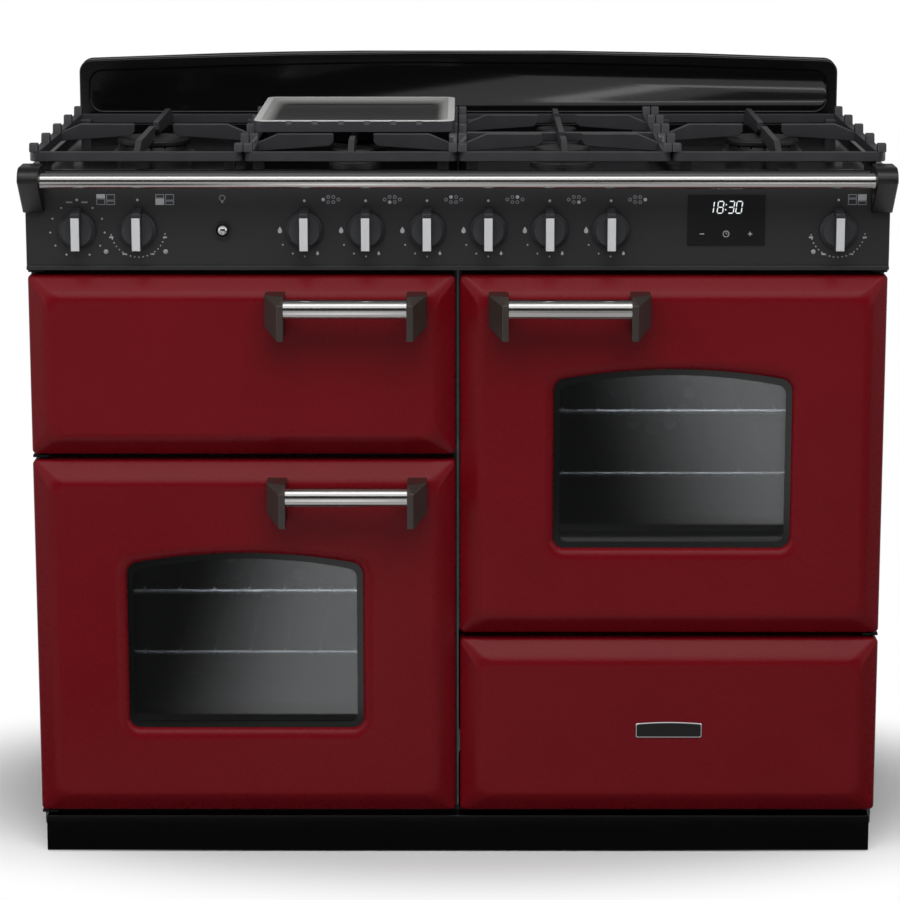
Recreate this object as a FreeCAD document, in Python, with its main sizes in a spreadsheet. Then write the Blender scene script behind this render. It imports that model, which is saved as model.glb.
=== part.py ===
import FreeCAD, Part
import Sketcher
import math
import operator
import os
from types import SimpleNamespace

# Range cooker, millimetres. X runs to the right seen from the front, Y to the back, Z up.
# The origin is on the floor, under the middle of the whole outline, handles included.

SIZES = {
    # whole cooker
    "width": 1092,
    "depth": 608,
    "hob_height": 905,
    "sheet": 2,
    "lift_fit": 0.3,
    "running_fit": 0.05,
    # base
    "base_height": 50,
    "base_flange": 20,
    "plinth_setback": 25,
    "plinth_inset": 5,
    "plinth_ground_gap": 2,
    "plinth_return": 150,
    "plinth_flange": 50,
    "foot_inset_x": 66,
    "foot_inset_y": 48,
    "foot_radius": 20,
    "foot_pad": 12,
    "foot_stud_radius": 6,
    # doors
    "door_floor": 60,
    "tall_door": 470,
    "short_door": 233,
    "row_gap": 8,
    "middle_gap": 6,
    "door_depth": 46,
    "door_bulge": 18,
    "door_bevel": 32,
    "door_rim_radius": 5,
    "door_face_radius": 17,
    "door_face_round": 12,
    "skin": 2,
    "door_air": 6,
    "liner_lip": 6,
    "hinge_inset": 10,
    "hinge_forward": 12,
    "hinge_pin_radius": 4,
    "hinge_pin_length": 14,
    "hinge_plate": 3,
    "hinge_plate_width": 24,
    # windows
    "window_width": 304,
    "window_height": 234,
    "window_low": 116,
    "window_rise": 15,
    "window_radius": 12,
    "window_roll": 16,
    "window_recess": 10,
    "glass": 4,
    "glass_overlap": 14,
    # handles
    "handle_reach": 55,
    "handle_inner_x": 39,
    "handle_length": 204,
    "handle_end_width": 25,
    "handle_end_above": 16,
    "handle_end_below": 39,
    "handle_end_facet": 9,
    "handle_bar_radius": 12.5,
    "handle_drop": 34,
    # control panel: oven knobs, light and clock are placed in from its ends
    "panel_gap": 7,
    "panel_setback": 14.5,
    "panel_lip": 3,
    "panel_lip_height": 6,
    "knob_rise": 51,
    "knob_pitch": 77.4,
    "oven_knob_x": 65.5,
    "left_oven_knob_x": 142,
    "knob_radius": 24,
    "knob_skirt": 4,
    "knob_height": 11,
    "knob_crown_radius": 18,
    "knob_air": 1,
    "grip_width": 12,
    "grip_up": 31,
    "grip_down": 24,
    "grip_height": 26,
    "grip_taper": -4,
    "spindle_radius": 4,
    "spindle_length": 34,
    "spindle_hole_gap": 1,
    "light_x": 249,
    "button_radius": 8,
    "button_reach": 7,
    "button_travel": 3,
    "bezel_radius": 10,
    "bezel_reach": 4,
    "clock_x": 207,
    "clock_rise": 64,
    "clock_width": 98,
    "clock_height": 65,
    "clock_face": 1.5,
    "clock_body_inset": 4,
    "clock_body_depth": 24,
    # gas rail and switches
    "tap_radius": 11,
    "gas_rail_radius": 8,
    "gas_supply_radius": 9.5,
    "gas_rail_setback": 62,
    "gas_inlet_x": 300,
    "gas_inlet_radius": 13.5,
    "gas_inlet_bore": 9.3,
    "gas_inlet_length": 26,
    "gas_bore_depth": 15,
    "switch_size": 42,
    "switch_depth": 38,
    # front rail
    "rail_reach": 36,
    "rail_drop": 9,
    "rail_radius": 9.75,
    "rail_wall": 1.5,
    "rail_bracket_width": 27,
    "rail_bracket_overhang": 2,
    "rail_bracket_radius": 18,
    "rail_bracket_tail": 44,
    "rail_bracket_toe": 8,
    "rail_socket": 20,
    # hob
    "tray_depth": 10,
    "tray_rim": 12,
    "tray_rear_ledge": 60,
    "tray_edge_round": 5,
    "upstand_height": 100,
    "upstand_depth": 28,
    "upstand_rise": 12,
    "upstand_radius": 18,
    "upstand_border": 16,
    "upstand_press": 3,
    # burners
    "burner_tube_radius": 15,
    "burner_tube_length": 34,
    "burner_flange": 4,
    "burner_head_height": 15,
    "burner_cap_height": 6,
    "burner_slot_width": 2.5,
    "large_burner": 50,
    "medium_burner": 38,
    "small_burner": 28,
    "burner_spread": 115,
    # pan supports and griddle
    "support_pitch": 271,
    "support_width": 270,
    "support_depth": 460,
    "support_setback": 30,
    "support_bar": 11,
    "support_bar_rise": 9,
    "support_bar_height": 12,
    "support_lug_height": 11,
    "support_lug_length": 15,
    "support_foot": 14,
    "finger_width": 8,
    "finger_ramp": 26,
    "finger_clear": 26,
    "griddle_width": 262,
    "griddle_depth": 310,
    "griddle_height": 15,
    "griddle_setback": 155,
    "griddle_rim": 9,
    "griddle_slope": 16,
    "griddle_floor": 6,
    "griddle_radius": 14,
    "griddle_notch": 7,
    "griddle_notch_pitch": 34,
    # ovens
    "oven_width": 440,
    "oven_height": 370,
    "oven_depth": 420,
    "oven_radius": 14,
    "grill_height": 150,
    "grill_depth": 340,
    "grill_pan_height": 40,
    "grill_pan_gap": 22,
    "element_radius": 4,
    "element_bend": 24,
    "element_drop": 22,
    "fan_radius": 75,
    "fan_depth": 20,
    "fan_gap": 6,
    "fan_hub_radius": 12,
    "fan_blade": 1.6,
    "fan_blade_length": 34,
    "fan_cover_size": 250,
    "fan_cover_depth": 36,
    "fan_hole_radius": 9,
    "fan_hole_circle": 52,
    "motor_radius": 35,
    "motor_length": 46,
    "shaft_radius": 3,
    "shelf_wire_radius": 1.8,
    "shelf_frame_radius": 3.2,
    "shelf_side_radius": 2.6,
    "shelf_wire_pitch": 46,
    "shelf_depth": 350,
    "shelf_side_gap": 9,
    "shelf_front_gap": 14,
    "lower_shelf_rise": 150,
    "upper_shelf_rise": 233,
    "ladder_bar": 4,
    "ladder_height": 300,
    # drawer
    "drawer_side_gap": 14,
    "drawer_wall": 2,
    "drawer_length": 420,
    "drawer_lift": 14,
    "drawer_box_height": 170,
    "runner_width": 12,
    "runner_height": 30,
    "runner_wall": 2,
    "runner_rise": 70,
    # back panel
    "louvre_width": 120,
    "louvre_height": 6,
    "louvre_pitch": 18,
    "louvre_rise": 640,
    "louvre_x": 300,
}
LOUVRES = 6
LUGS_PER_SIDE = 5
FAN_BLADES = 10
FAN_HOLES = 12
GRIDDLE_NOTCHES = 6
ELEMENT_TURNS = 5


class Size:
    """A length that knows its value and the sheet formula that gives it."""

    def __init__(self, value, formula=None):
        self.value = float(value)
        self.formula = formula or f"({self.value})"

    def joined(self, other, sign, work, swap=False):
        other = other if isinstance(other, Size) else Size(other)
        first, second = (other, self) if swap else (self, other)
        return Size(work(first.value, second.value), f"({first.formula} {sign} {second.formula})")

    def __add__(self, other):
        return self.joined(other, "+", operator.add)

    def __radd__(self, other):
        return self.joined(other, "+", operator.add, True)

    def __sub__(self, other):
        return self.joined(other, "-", operator.sub)

    def __rsub__(self, other):
        return self.joined(other, "-", operator.sub, True)

    def __mul__(self, other):
        return self.joined(other, "*", operator.mul)

    def __rmul__(self, other):
        return self.joined(other, "*", operator.mul, True)

    def __truediv__(self, other):
        return self.joined(other, "/", operator.truediv)

    def __neg__(self):
        return Size(0) - self

    def root(self):
        return Size(math.sqrt(self.value), f"sqrt({self.formula})")


doc = FreeCAD.newDocument("range_cooker")
sheet = doc.addObject("Spreadsheet::Sheet", "sizes")
for row, (name, value) in enumerate(SIZES.items(), start=1):
    sheet.set(f"A{row}", name)
    sheet.set(f"B{row}", str(value))
    sheet.setAlias(f"B{row}", name)
doc.recompute()
d = SimpleNamespace(**{name: Size(value, f"sizes.{name}") for name, value in SIZES.items()})
nodes = []


def as_size(item):
    return item if isinstance(item, Size) else Size(item)


def bind(item, prop, size):
    item.setExpression(prop, as_size(size).formula)


def keep(item, label):
    """Name a finished sub-part; its label names its file."""
    item.Label = label
    nodes.append(item)
    return item


def place(item, x=0, y=0, z=0):
    for axis, size in zip("xyz", (x, y, z)):
        bind(item, f"Placement.Base.{axis}", size)
    return item


def box(name, x, y, z):
    """A block between pairs of low and high faces."""
    item = doc.addObject("Part::Box", name)
    for prop, (low, high) in zip(("Length", "Width", "Height"), (x, y, z)):
        bind(item, prop, high - low)
    return place(item, x[0], y[0], z[0])


TURNS = {
    "x": FreeCAD.Rotation(FreeCAD.Vector(0, 1, 0), 90),
    "y": FreeCAD.Rotation(FreeCAD.Vector(1, 0, 0), -90),
    "z": FreeCAD.Rotation(),
}


def rod(name, axis, start, radius, length):
    """A round bar that starts at a point and runs along +X, +Y or +Z."""
    item = doc.addObject("Part::Cylinder", name)
    item.Placement = FreeCAD.Placement(FreeCAD.Vector(), TURNS[axis])
    bind(item, "Radius", radius)
    bind(item, "Height", length)
    return place(item, *start)


def fuse(name, *pieces):
    item = doc.addObject("Part::MultiFuse", name)
    item.Shapes = list(pieces)
    return item


def cut(name, base, *tools):
    item = doc.addObject("Part::Cut", name)
    item.Base = base
    item.Tool = tools[0] if len(tools) == 1 else fuse(f"{name}_tools", *tools)
    return item


def group(name, *pieces):
    """Like pieces that stay separate solids and share one node."""
    item = doc.addObject("Part::Compound", name)
    item.Links = list(pieces)
    return item


def body(name):
    return doc.addObject("PartDesign::Body", name)


def origin_part(part, role):
    return next(item for item in part.Origin.OriginFeatures if item.Role == role)


def sketch(part, plane, offset, *loops):
    """A sketch on an origin plane moved by offset along the plane's normal.

    A loop is a list of points, anticlockwise, or one circle (x, y, radius). A point may carry
    a third value: the radius of an arc, bulging outwards, that runs from it to the next point.
    """
    drawing = part.newObject("Sketcher::SketchObject", f"{part.Name}_sketch")
    drawing.AttachmentSupport = [(origin_part(part, plane), "")]
    drawing.MapMode = "FlatFace"
    bind(drawing, "AttachmentOffset.Base.z", offset)
    for loop in loops:
        if isinstance(loop, tuple):
            draw_circle(drawing, *loop)
        else:
            draw_loop(drawing, loop)
    return drawing


def fix_point(drawing, edge, end, x, y):
    for kind, size in (("DistanceX", as_size(x)), ("DistanceY", as_size(y))):
        number = drawing.addConstraint(Sketcher.Constraint(kind, -1, 1, edge, end, size.value))
        bind(drawing, f"Constraints[{number}]", size)


def fix_radius(drawing, edge, radius):
    radius = as_size(radius)
    number = drawing.addConstraint(Sketcher.Constraint("Radius", edge, radius.value))
    bind(drawing, f"Constraints[{number}]", radius)


def draw_circle(drawing, x, y, radius):
    centre = FreeCAD.Vector(as_size(x).value, as_size(y).value, 0)
    circle = Part.Circle(centre, FreeCAD.Vector(0, 0, 1), as_size(radius).value)
    edge = drawing.addGeometry(circle, False)
    fix_point(drawing, edge, 3, x, y)
    fix_radius(drawing, edge, radius)


def draw_loop(drawing, loop):
    first = drawing.GeometryCount
    spots = [FreeCAD.Vector(as_size(point[0]).value, as_size(point[1]).value, 0) for point in loop]
    for number, point in enumerate(loop):
        here = spots[number]
        there = spots[(number + 1) % len(loop)]
        if len(point) == 2:
            drawing.addGeometry(Part.LineSegment(here, there), False)
            continue
        chord = there - here
        left = FreeCAD.Vector(-chord.y, chord.x, 0).normalize()
        radius = as_size(point[2]).value
        sagitta = radius - math.sqrt(max(radius ** 2 - (chord.Length / 2) ** 2, 0))
        middle = (here + there) / 2 - left * sagitta
        drawing.addGeometry(Part.Arc(here, middle, there), False)
    for number, point in enumerate(loop):
        edge = first + number
        following = first + (number + 1) % len(loop)
        drawing.addConstraint(Sketcher.Constraint("Coincident", edge, 2, following, 1))
        fix_point(drawing, edge, 1, point[0], point[1])
        if len(point) == 3:
            fix_radius(drawing, edge, point[2])


def feature(part, kind, drawing):
    item = part.newObject(f"PartDesign::{kind}", f"{part.Name}_{kind}")
    item.Profile = drawing
    return item


def pad(part, drawing, length, taper=None):
    """Material from the sketch along its plane's normal: +Z, -Y or +X."""
    item = feature(part, "Pad", drawing)
    bind(item, "Length", length)
    if taper is not None:
        bind(item, "TaperAngle", taper)
    return item


def pocket(part, drawing, length):
    """A cut from the sketch along its plane's normal: +Z, -Y or +X."""
    item = feature(part, "Pocket", drawing)
    item.Reversed = True
    bind(item, "Length", length)
    return item


def loft(part, first, second, kind="AdditiveLoft"):
    item = feature(part, kind, first)
    item.Sections = [second]
    item.Ruled = True
    return item


def turned(part, drawing):
    """The sketch turned a full circle about its own upright axis."""
    item = feature(part, "Revolution", drawing)
    item.ReferenceAxis = (drawing, ["V_Axis"])
    return item


def round_edges(part, radius, choose, kind="Fillet"):
    """Round, or chamfer, the edges of the last feature that a test picks."""
    doc.recompute()
    base = part.Tip
    names = [f"Edge{n}" for n, edge in enumerate(base.Shape.Edges, start=1) if choose(edge)]
    item = part.newObject(f"PartDesign::{kind}", f"{part.Name}_{kind}")
    item.Base = (base, names)
    bind(item, "Radius" if kind == "Fillet" else "Size", radius)
    return item


def ring_pattern(part, made, axis_role, count):
    item = part.newObject("PartDesign::PolarPattern", f"{part.Name}_ring")
    item.Originals = [made]
    item.Axis = (origin_part(part, axis_role), [""])
    item.Angle = 360
    item.Occurrences = count
    part.Tip = item
    return item


def rectangle(x, y):
    return [(x[0], y[0]), (x[1], y[0]), (x[1], y[1]), (x[0], y[1])]


def rounded(x, y, r):
    """A rectangle with round corners."""
    return [
        (x[0] + r, y[0]),
        (x[1] - r, y[0], r),
        (x[1], y[0] + r),
        (x[1], y[1] - r, r),
        (x[1] - r, y[1]),
        (x[0] + r, y[1], r),
        (x[0], y[1] - r),
        (x[0], y[0] + r, r),
    ]


def arched(x, y, rise, r, round_foot=True):
    """A rectangle whose top edge is an arch; its highest point is at y[1]."""
    middle = (x[0] + x[1]) / 2
    half = (x[1] - x[0]) / 2
    arch = (half * half + rise * rise) / (2 * rise)
    arch_y = y[1] - arch
    corner_y = arch_y + ((arch - r) * (arch - r) - (half - r) * (half - r)).root()
    reach = (half - r) * arch / (arch - r)
    shoulder_y = arch_y + (corner_y - arch_y) * arch / (arch - r)
    top = [
        (x[1], corner_y, r),
        (middle + reach, shoulder_y, arch),
        (middle - reach, shoulder_y, r),
        (x[0], corner_y),
    ]
    if not round_foot:
        return [(x[0], y[0]), (x[1], y[0])] + top
    foot = [(x[0], y[0] + r, r), (x[0] + r, y[0]), (x[1] - r, y[0], r), (x[1], y[0] + r)]
    return foot + top


def grown(span, margin):
    return (span[0] - margin, span[1] + margin)


def about(middle, length):
    return (middle - length / 2, middle + length / 2)


# Planes and places that several pieces share
half = d.width / 2
back_y = (d.depth + d.handle_reach) / 2
face_y = back_y - d.depth
rim_y = face_y + d.door_bulge
door_back_y = face_y + d.door_depth
front_y = door_back_y + d.door_air
inner_back_y = back_y - d.sheet
panel_y = face_y + d.panel_setback
body_top = d.hob_height - d.tray_depth
base_top = d.base_height + d.sheet
inner_half = half - d.sheet
divider_half = d.sheet / 2
left_door_x = (-half, -d.middle_gap / 2)
right_door_x = (d.middle_gap / 2, half)
left_oven_z = (d.door_floor, d.door_floor + d.tall_door)
grill_z = (left_oven_z[1] + d.row_gap, left_oven_z[1] + d.row_gap + d.short_door)
drawer_z = (d.door_floor, d.door_floor + d.short_door)
right_oven_z = (drawer_z[1] + d.row_gap, drawer_z[1] + d.row_gap + d.tall_door)
doors_top = grill_z[1]
panel_low = doors_top + d.panel_gap
cells_top = doors_top + d.panel_gap / 2
left_middle = (left_door_x[0] + left_door_x[1]) / 2
right_middle = (right_door_x[0] + right_door_x[1]) / 2
knob_z = panel_low + d.knob_rise
tray_floor = body_top + d.sheet
hinge_y = door_back_y - d.hinge_forward
burner_knobs_x = [(place_number - 2.5) * d.knob_pitch for place_number in range(6)]
oven_knobs_x = [d.oven_knob_x - half, d.left_oven_knob_x - half, half - d.oven_knob_x]
light_x = d.light_x - half


def make_base():
    """Base pan with turned-down flanges, plinth, feet."""
    pan = body("base_pan")
    span_x = (-inner_half, inner_half)
    span_y = (front_y, inner_back_y)
    under = d.base_height - d.base_flange
    pad(pan, sketch(pan, "XY_Plane", under, rectangle(span_x, span_y)), d.base_flange + d.sheet)
    inside = rectangle(grown(span_x, -d.sheet), (front_y - d.sheet, inner_back_y - d.sheet))
    pocket(pan, sketch(pan, "XY_Plane", under, inside), d.base_flange)
    keep(pan, "base_pan")

    plinth = body("plinth")
    plinth_half = half - d.plinth_inset
    plinth_y = face_y + d.plinth_setback
    span_x = (-plinth_half, plinth_half)
    span_y = (plinth_y, plinth_y + d.plinth_return)
    low = d.plinth_ground_gap
    pad(plinth, sketch(plinth, "XY_Plane", low, rectangle(span_x, span_y)), d.base_height - low)
    inside = rectangle(grown(span_x, -d.sheet), (plinth_y + d.sheet, span_y[1] + d.sheet))
    pocket(plinth, sketch(plinth, "XY_Plane", low, inside), d.base_height - low - d.sheet)
    behind = rectangle(grown(span_x, -d.sheet), (plinth_y + d.plinth_flange, span_y[1] + d.sheet))
    pocket(plinth, sketch(plinth, "XY_Plane", low, behind), d.base_height - low)
    keep(plinth, "plinth")

    feet = []
    for foot_x in (-half + d.foot_inset_x, half - d.foot_inset_x):
        for foot_y in (front_y + d.foot_inset_y, inner_back_y - d.foot_inset_y):
            foot = body("levelling_foot")
            profile = [
                (0, 0),
                (d.foot_radius, 0),
                (d.foot_radius, d.foot_pad / 2),
                (d.foot_radius * 0.7, d.foot_pad),
                (d.foot_stud_radius, d.foot_pad),
                (d.foot_stud_radius, foot_nut_low),
                (d.foot_stud_radius * 2, foot_nut_low),
                (d.foot_stud_radius * 2, d.base_height),
                (0, d.base_height),
            ]
            turned(foot, sketch(foot, "XZ_Plane", 0, profile))
            feet.append(place(foot, foot_x, foot_y))
    keep(group("levelling_feet", *feet), "levelling_feet")


foot_nut_low = d.base_height - d.foot_stud_radius


def make_casing():
    """Side panels, centre divider and louvred back panel of folded sheet."""
    low = d.base_height - d.base_flange
    for label, x in (("left_side_panel", (-half, -inner_half)), ("right_side_panel", (inner_half, half))):
        keep(box(label, x, (front_y, inner_back_y), (low, body_top)), label)
    divider_x = (-divider_half, divider_half)
    divider = box("centre_divider", divider_x, (front_y, inner_back_y), (base_top, cells_top))
    keep(divider, "centre_divider")

    back = body("back_panel")
    pad(back, sketch(back, "XZ_Plane", -back_y, rectangle((-half, half), (low, body_top))), d.sheet)
    slots = []
    for side in (-1, 1):
        for number in range(LOUVRES):
            slot_x = about(side * d.louvre_x, d.louvre_width)
            slot_z = d.louvre_rise + number * d.louvre_pitch
            slots.append(rectangle(slot_x, (slot_z, slot_z + d.louvre_height)))
    inlet = (d.gas_inlet_x, knob_z, d.gas_inlet_radius + d.spindle_hole_gap)
    pocket(back, sketch(back, "XZ_Plane", -back_y, inlet, *slots), d.sheet)
    keep(back, "back_panel")


def make_cavity(label, cell_x, cell_z, middle_x, middle_z, height, depth, shaft):
    """An oven liner: an open box with a wide front flange."""
    oven = body(label)
    inside_x = about(middle_x, d.oven_width)
    inside_z = about(middle_z, height)
    outer = rounded(grown(inside_x, d.sheet), grown(inside_z, d.sheet), d.oven_radius + d.sheet)
    pad(oven, sketch(oven, "XZ_Plane", -(front_y + depth + d.sheet), outer), depth + d.sheet)
    pad(oven, sketch(oven, "XZ_Plane", -(front_y + d.sheet), rectangle(cell_x, cell_z)), d.sheet)
    inner = rounded(inside_x, inside_z, d.oven_radius)
    pocket(oven, sketch(oven, "XZ_Plane", -(front_y + depth), inner), depth)
    if shaft:
        hole = (middle_x, middle_z, d.shaft_radius * 2)
        pocket(oven, sketch(oven, "XZ_Plane", -(front_y + depth + d.sheet), hole), d.sheet)
    return keep(oven, label)


def middle_of(span):
    return (span[0] + span[1]) / 2


left_cell_x = (-inner_half, -divider_half)
right_cell_x = (divider_half, inner_half)
left_split = left_oven_z[1] + d.row_gap / 2
right_split = drawer_z[1] + d.row_gap / 2
OVENS = {
    "left": (left_middle, middle_of(left_oven_z)),
    "right": (right_middle, middle_of(right_oven_z)),
}
oven_back_y = front_y + d.oven_depth


def make_ovens():
    left_x, left_z = OVENS["left"]
    right_x, right_z = OVENS["right"]
    make_cavity("left_oven_cavity", left_cell_x, (base_top, left_split), left_x, left_z,
                d.oven_height, d.oven_depth, True)
    make_cavity("right_oven_cavity", right_cell_x, (right_split, cells_top), right_x, right_z,
                d.oven_height, d.oven_depth, True)
    make_cavity("grill_cavity", left_cell_x, (left_split, cells_top), left_x, middle_of(grill_z),
                d.grill_height, d.grill_depth, False)
    covers = []
    motors = []
    for side, (x, z) in OVENS.items():
        covers.append(make_fan_cover(x, z))
        motors.append(make_fan_motor(x, z))
        make_fan(f"{side}_fan", x, z)
    keep(group("fan_covers", *covers), "fan_covers")
    keep(group("fan_motors", *motors), "fan_motors")


def make_fan_cover(x, z):
    """A pressed baffle in front of the fan, with a ring of intake holes."""
    cover = body("fan_cover")
    size = about(Size(0), d.fan_cover_size)
    pad(cover, sketch(cover, "XZ_Plane", 0, rounded(size, size, d.oven_radius)), d.fan_cover_depth)
    inside = grown(size, -d.sheet)
    hollow = rounded(inside, inside, d.oven_radius - d.sheet)
    pocket(cover, sketch(cover, "XZ_Plane", 0, hollow), d.fan_cover_depth - d.sheet)
    hole = sketch(cover, "XZ_Plane", 0, (0, d.fan_hole_circle, d.fan_hole_radius))
    ring_pattern(cover, pocket(cover, hole, d.fan_cover_depth), "Y_Axis", FAN_HOLES)
    return place(cover, x, oven_back_y, z)


def make_fan_motor(x, z):
    """Motor can behind the oven's back wall, with its shaft through the wall."""
    rear_y = oven_back_y + d.sheet
    can = rod("fan_motor_can", "y", (x, rear_y, z), d.motor_radius, d.motor_length)
    shaft_y = oven_back_y - d.fan_gap - d.fan_depth
    shaft = rod("fan_motor_shaft", "y", (x, shaft_y, z), d.shaft_radius, rear_y - shaft_y)
    return fuse("fan_motor", can, shaft)


def make_fan(label, x, z):
    """A fan wheel: hub, back disc and straight radial blades."""
    fan = body(label)
    bore = d.shaft_radius + d.running_fit
    disc = sketch(fan, "XZ_Plane", 0, (0, 0, d.fan_radius), (0, 0, bore))
    pad(fan, disc, d.fan_blade)
    hub = sketch(fan, "XZ_Plane", 0, (0, 0, d.fan_hub_radius), (0, 0, bore))
    pad(fan, hub, d.fan_depth)
    inner = d.fan_radius - d.fan_blade_length
    blade = rectangle(about(Size(0), d.fan_blade), (inner, d.fan_radius - d.fan_blade))
    ring_pattern(fan, pad(fan, sketch(fan, "XZ_Plane", 0, blade), d.fan_depth), "Y_Axis", FAN_BLADES)
    keep(place(fan, x, oven_back_y - d.fan_gap, z), label)


def make_racks():
    """Chromed wire shelves and the ladders that carry them, two of each in each oven."""
    pieces = []
    for x, z in OVENS.values():
        wall_x = about(x, d.oven_width)
        floor = z - d.oven_height / 2
        shelf_x = grown(wall_x, -d.shelf_side_gap)
        shelf_y = (front_y + d.shelf_front_gap, front_y + d.shelf_front_gap + d.shelf_depth)
        for rise in (d.lower_shelf_rise, d.upper_shelf_rise):
            pieces.append(make_shelf(shelf_x, shelf_y, floor + rise))
        ladder_z = about(z, d.ladder_height)
        for edge, step in ((wall_x[0], 1), (wall_x[1], -1)):
            pieces.append(make_ladder(edge, step, shelf_y, ladder_z, floor))
    keep(group("oven_racks", *pieces), "oven_racks")


def make_shelf(x, y, z):
    frame = d.shelf_frame_radius
    wire = d.shelf_wire_radius
    rods = []
    for edge_y in (y[0] + frame, y[1] - frame):
        rods.append(rod("shelf_cross_rod", "x", (x[0], edge_y, z), frame, x[1] - x[0]))
    rear = y[1] - y[0] - 2 * frame
    for edge_x in (x[0] + frame, x[1] - frame):
        rods.append(rod("shelf_side_rod", "y", (edge_x, y[0] + frame, z), d.shelf_side_radius, rear))
    middle = (x[0] + x[1]) / 2
    for number in range(-4, 5):
        wire_x = middle + number * d.shelf_wire_pitch
        rods.append(rod("shelf_wire", "y", (wire_x, y[0] + frame, z), wire, rear))
    return fuse("wire_shelf", *rods)


def make_ladder(wall, step, y, z, floor):
    """Two flat uprights on the oven wall and a ledge under each shelf."""
    bar = d.ladder_bar
    reach = d.shelf_side_gap + bar

    def side_span(width):
        return (wall, wall + width) if step > 0 else (wall - width, wall)

    bars = []
    for edge_y in (y[0] + bar * 4, y[1] - bar * 4):
        bars.append(box("ladder_upright", side_span(bar), about(edge_y, bar * 2), z))
    for rise in (d.lower_shelf_rise, d.upper_shelf_rise):
        top = floor + rise - d.shelf_frame_radius
        bars.append(box("ladder_ledge", side_span(reach), y, (top - bar, top)))
    return fuse("shelf_ladder", *bars)


def make_grill():
    """Grill pan on the cavity floor and the looped element under its roof."""
    x, z = left_middle, middle_of(grill_z)
    floor = z - d.grill_height / 2
    roof = z + d.grill_height / 2
    pan = body("grill_pan")
    pan_x = grown(about(x, d.oven_width), -d.grill_pan_gap)
    pan_y = (front_y + d.grill_pan_gap, front_y + d.grill_depth - d.grill_pan_gap)
    pad(pan, sketch(pan, "XY_Plane", floor, rounded(pan_x, pan_y, d.oven_radius)), d.grill_pan_height)
    hollow = rounded(grown(pan_x, -d.sheet), grown(pan_y, -d.sheet), d.oven_radius - d.sheet)
    pocket(pan, sketch(pan, "XY_Plane", floor + d.sheet, hollow), d.grill_pan_height)
    keep(pan, "grill_pan")

    wall_y = front_y + d.grill_depth
    front_bend_y = front_y + d.grill_pan_gap + d.element_bend * 2
    rear_bend_y = wall_y - d.element_bend * 3
    level = roof - d.element_drop
    parts = []
    for number in range(ELEMENT_TURNS + 1):
        run_x = x + (number - ELEMENT_TURNS / 2) * d.element_bend * 2
        end_y = wall_y if number in (0, ELEMENT_TURNS) else rear_bend_y
        start = (run_x, front_bend_y, level)
        parts.append(rod("element_run", "y", start, d.element_radius, end_y - front_bend_y))
        if number == ELEMENT_TURNS:
            break
        at_front = number % 2 == 0
        bend = doc.addObject("Part::Torus", "element_bend")
        bind(bend, "Radius1", d.element_bend)
        bind(bend, "Radius2", d.element_radius)
        bend.Angle3 = 180
        flip = FreeCAD.Rotation(FreeCAD.Vector(0, 0, 1), 180 if at_front else 0)
        bend.Placement = FreeCAD.Placement(FreeCAD.Vector(), flip)
        parts.append(place(bend, run_x + d.element_bend, front_bend_y if at_front else rear_bend_y, level))
    keep(fuse("grill_element", *parts), "grill_element")


def make_hob():
    """Pressed hob tray with its burner holes, and the arched upstand behind it."""
    tray = body("hob_tray")
    outer_y = (panel_y, back_y)
    pad(tray, sketch(tray, "XY_Plane", body_top, rectangle((-half, half), outer_y)), d.tray_depth)
    inside_x = (-half + d.tray_rim, half - d.tray_rim)
    inside_y = (panel_y + d.tray_rim, back_y - d.tray_rear_ledge)
    hollow = rounded(inside_x, inside_y, d.oven_radius)
    pocket(tray, sketch(tray, "XY_Plane", tray_floor, hollow), d.tray_depth)
    holes = [(x, y, d.burner_tube_radius + d.lift_fit) for x, y, _ in burners()]
    pocket(tray, sketch(tray, "XY_Plane", body_top, *holes), d.sheet)
    front = panel_y.value

    def front_top(edge):
        middle = edge.BoundBox.Center
        return abs(middle.y - front) < 1e-6 and abs(middle.z - d.hob_height.value) < 1e-6

    round_edges(tray, d.tray_edge_round, front_top)
    keep(tray, "hob_tray")

    upstand = body("upstand")
    top = d.hob_height + d.upstand_height
    shape = arched((-half, half), (d.hob_height, top), d.upstand_rise, d.upstand_radius, False)
    pad(upstand, sketch(upstand, "XZ_Plane", -back_y, shape), d.upstand_depth)
    border = d.upstand_border
    inset = arched((-half + border, half - border), (d.hob_height + border, top - border),
                   d.upstand_rise, d.upstand_radius)
    press_y = back_y - d.upstand_depth + d.upstand_press
    pocket(upstand, sketch(upstand, "XZ_Plane", -press_y, inset), d.upstand_press)
    wall = d.sheet
    hollow = arched((-half + wall, half - wall), (d.hob_height + wall, top - wall),
                    d.upstand_rise, d.upstand_radius - wall, False)
    web = d.upstand_depth - d.upstand_press - wall
    pocket(upstand, sketch(upstand, "XZ_Plane", -back_y, hollow), web)
    keep(upstand, "upstand")


support_y = (face_y + d.support_setback, face_y + d.support_setback + d.support_depth)
support_middle_y = middle_of(support_y)
support_middles_x = [(number - 1.5) * d.support_pitch for number in range(4)]
burner_rows = {
    "left": [support_middle_y],
    "centre": [support_middle_y - d.burner_spread, support_middle_y + d.burner_spread],
    "right": [support_middle_y],
}
SUPPORT_ROWS = ["left", "centre", "centre", "right"]


def burners():
    """Centre and head radius of each burner."""
    front, rear = burner_rows["centre"]
    return [
        (support_middles_x[0], support_middle_y, d.large_burner),
        (support_middles_x[1], front, d.small_burner),
        (support_middles_x[1], rear, d.medium_burner),
        (support_middles_x[2], front, d.medium_burner),
        (support_middles_x[2], rear, d.small_burner),
        (support_middles_x[3], support_middle_y, d.large_burner),
    ]


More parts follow.
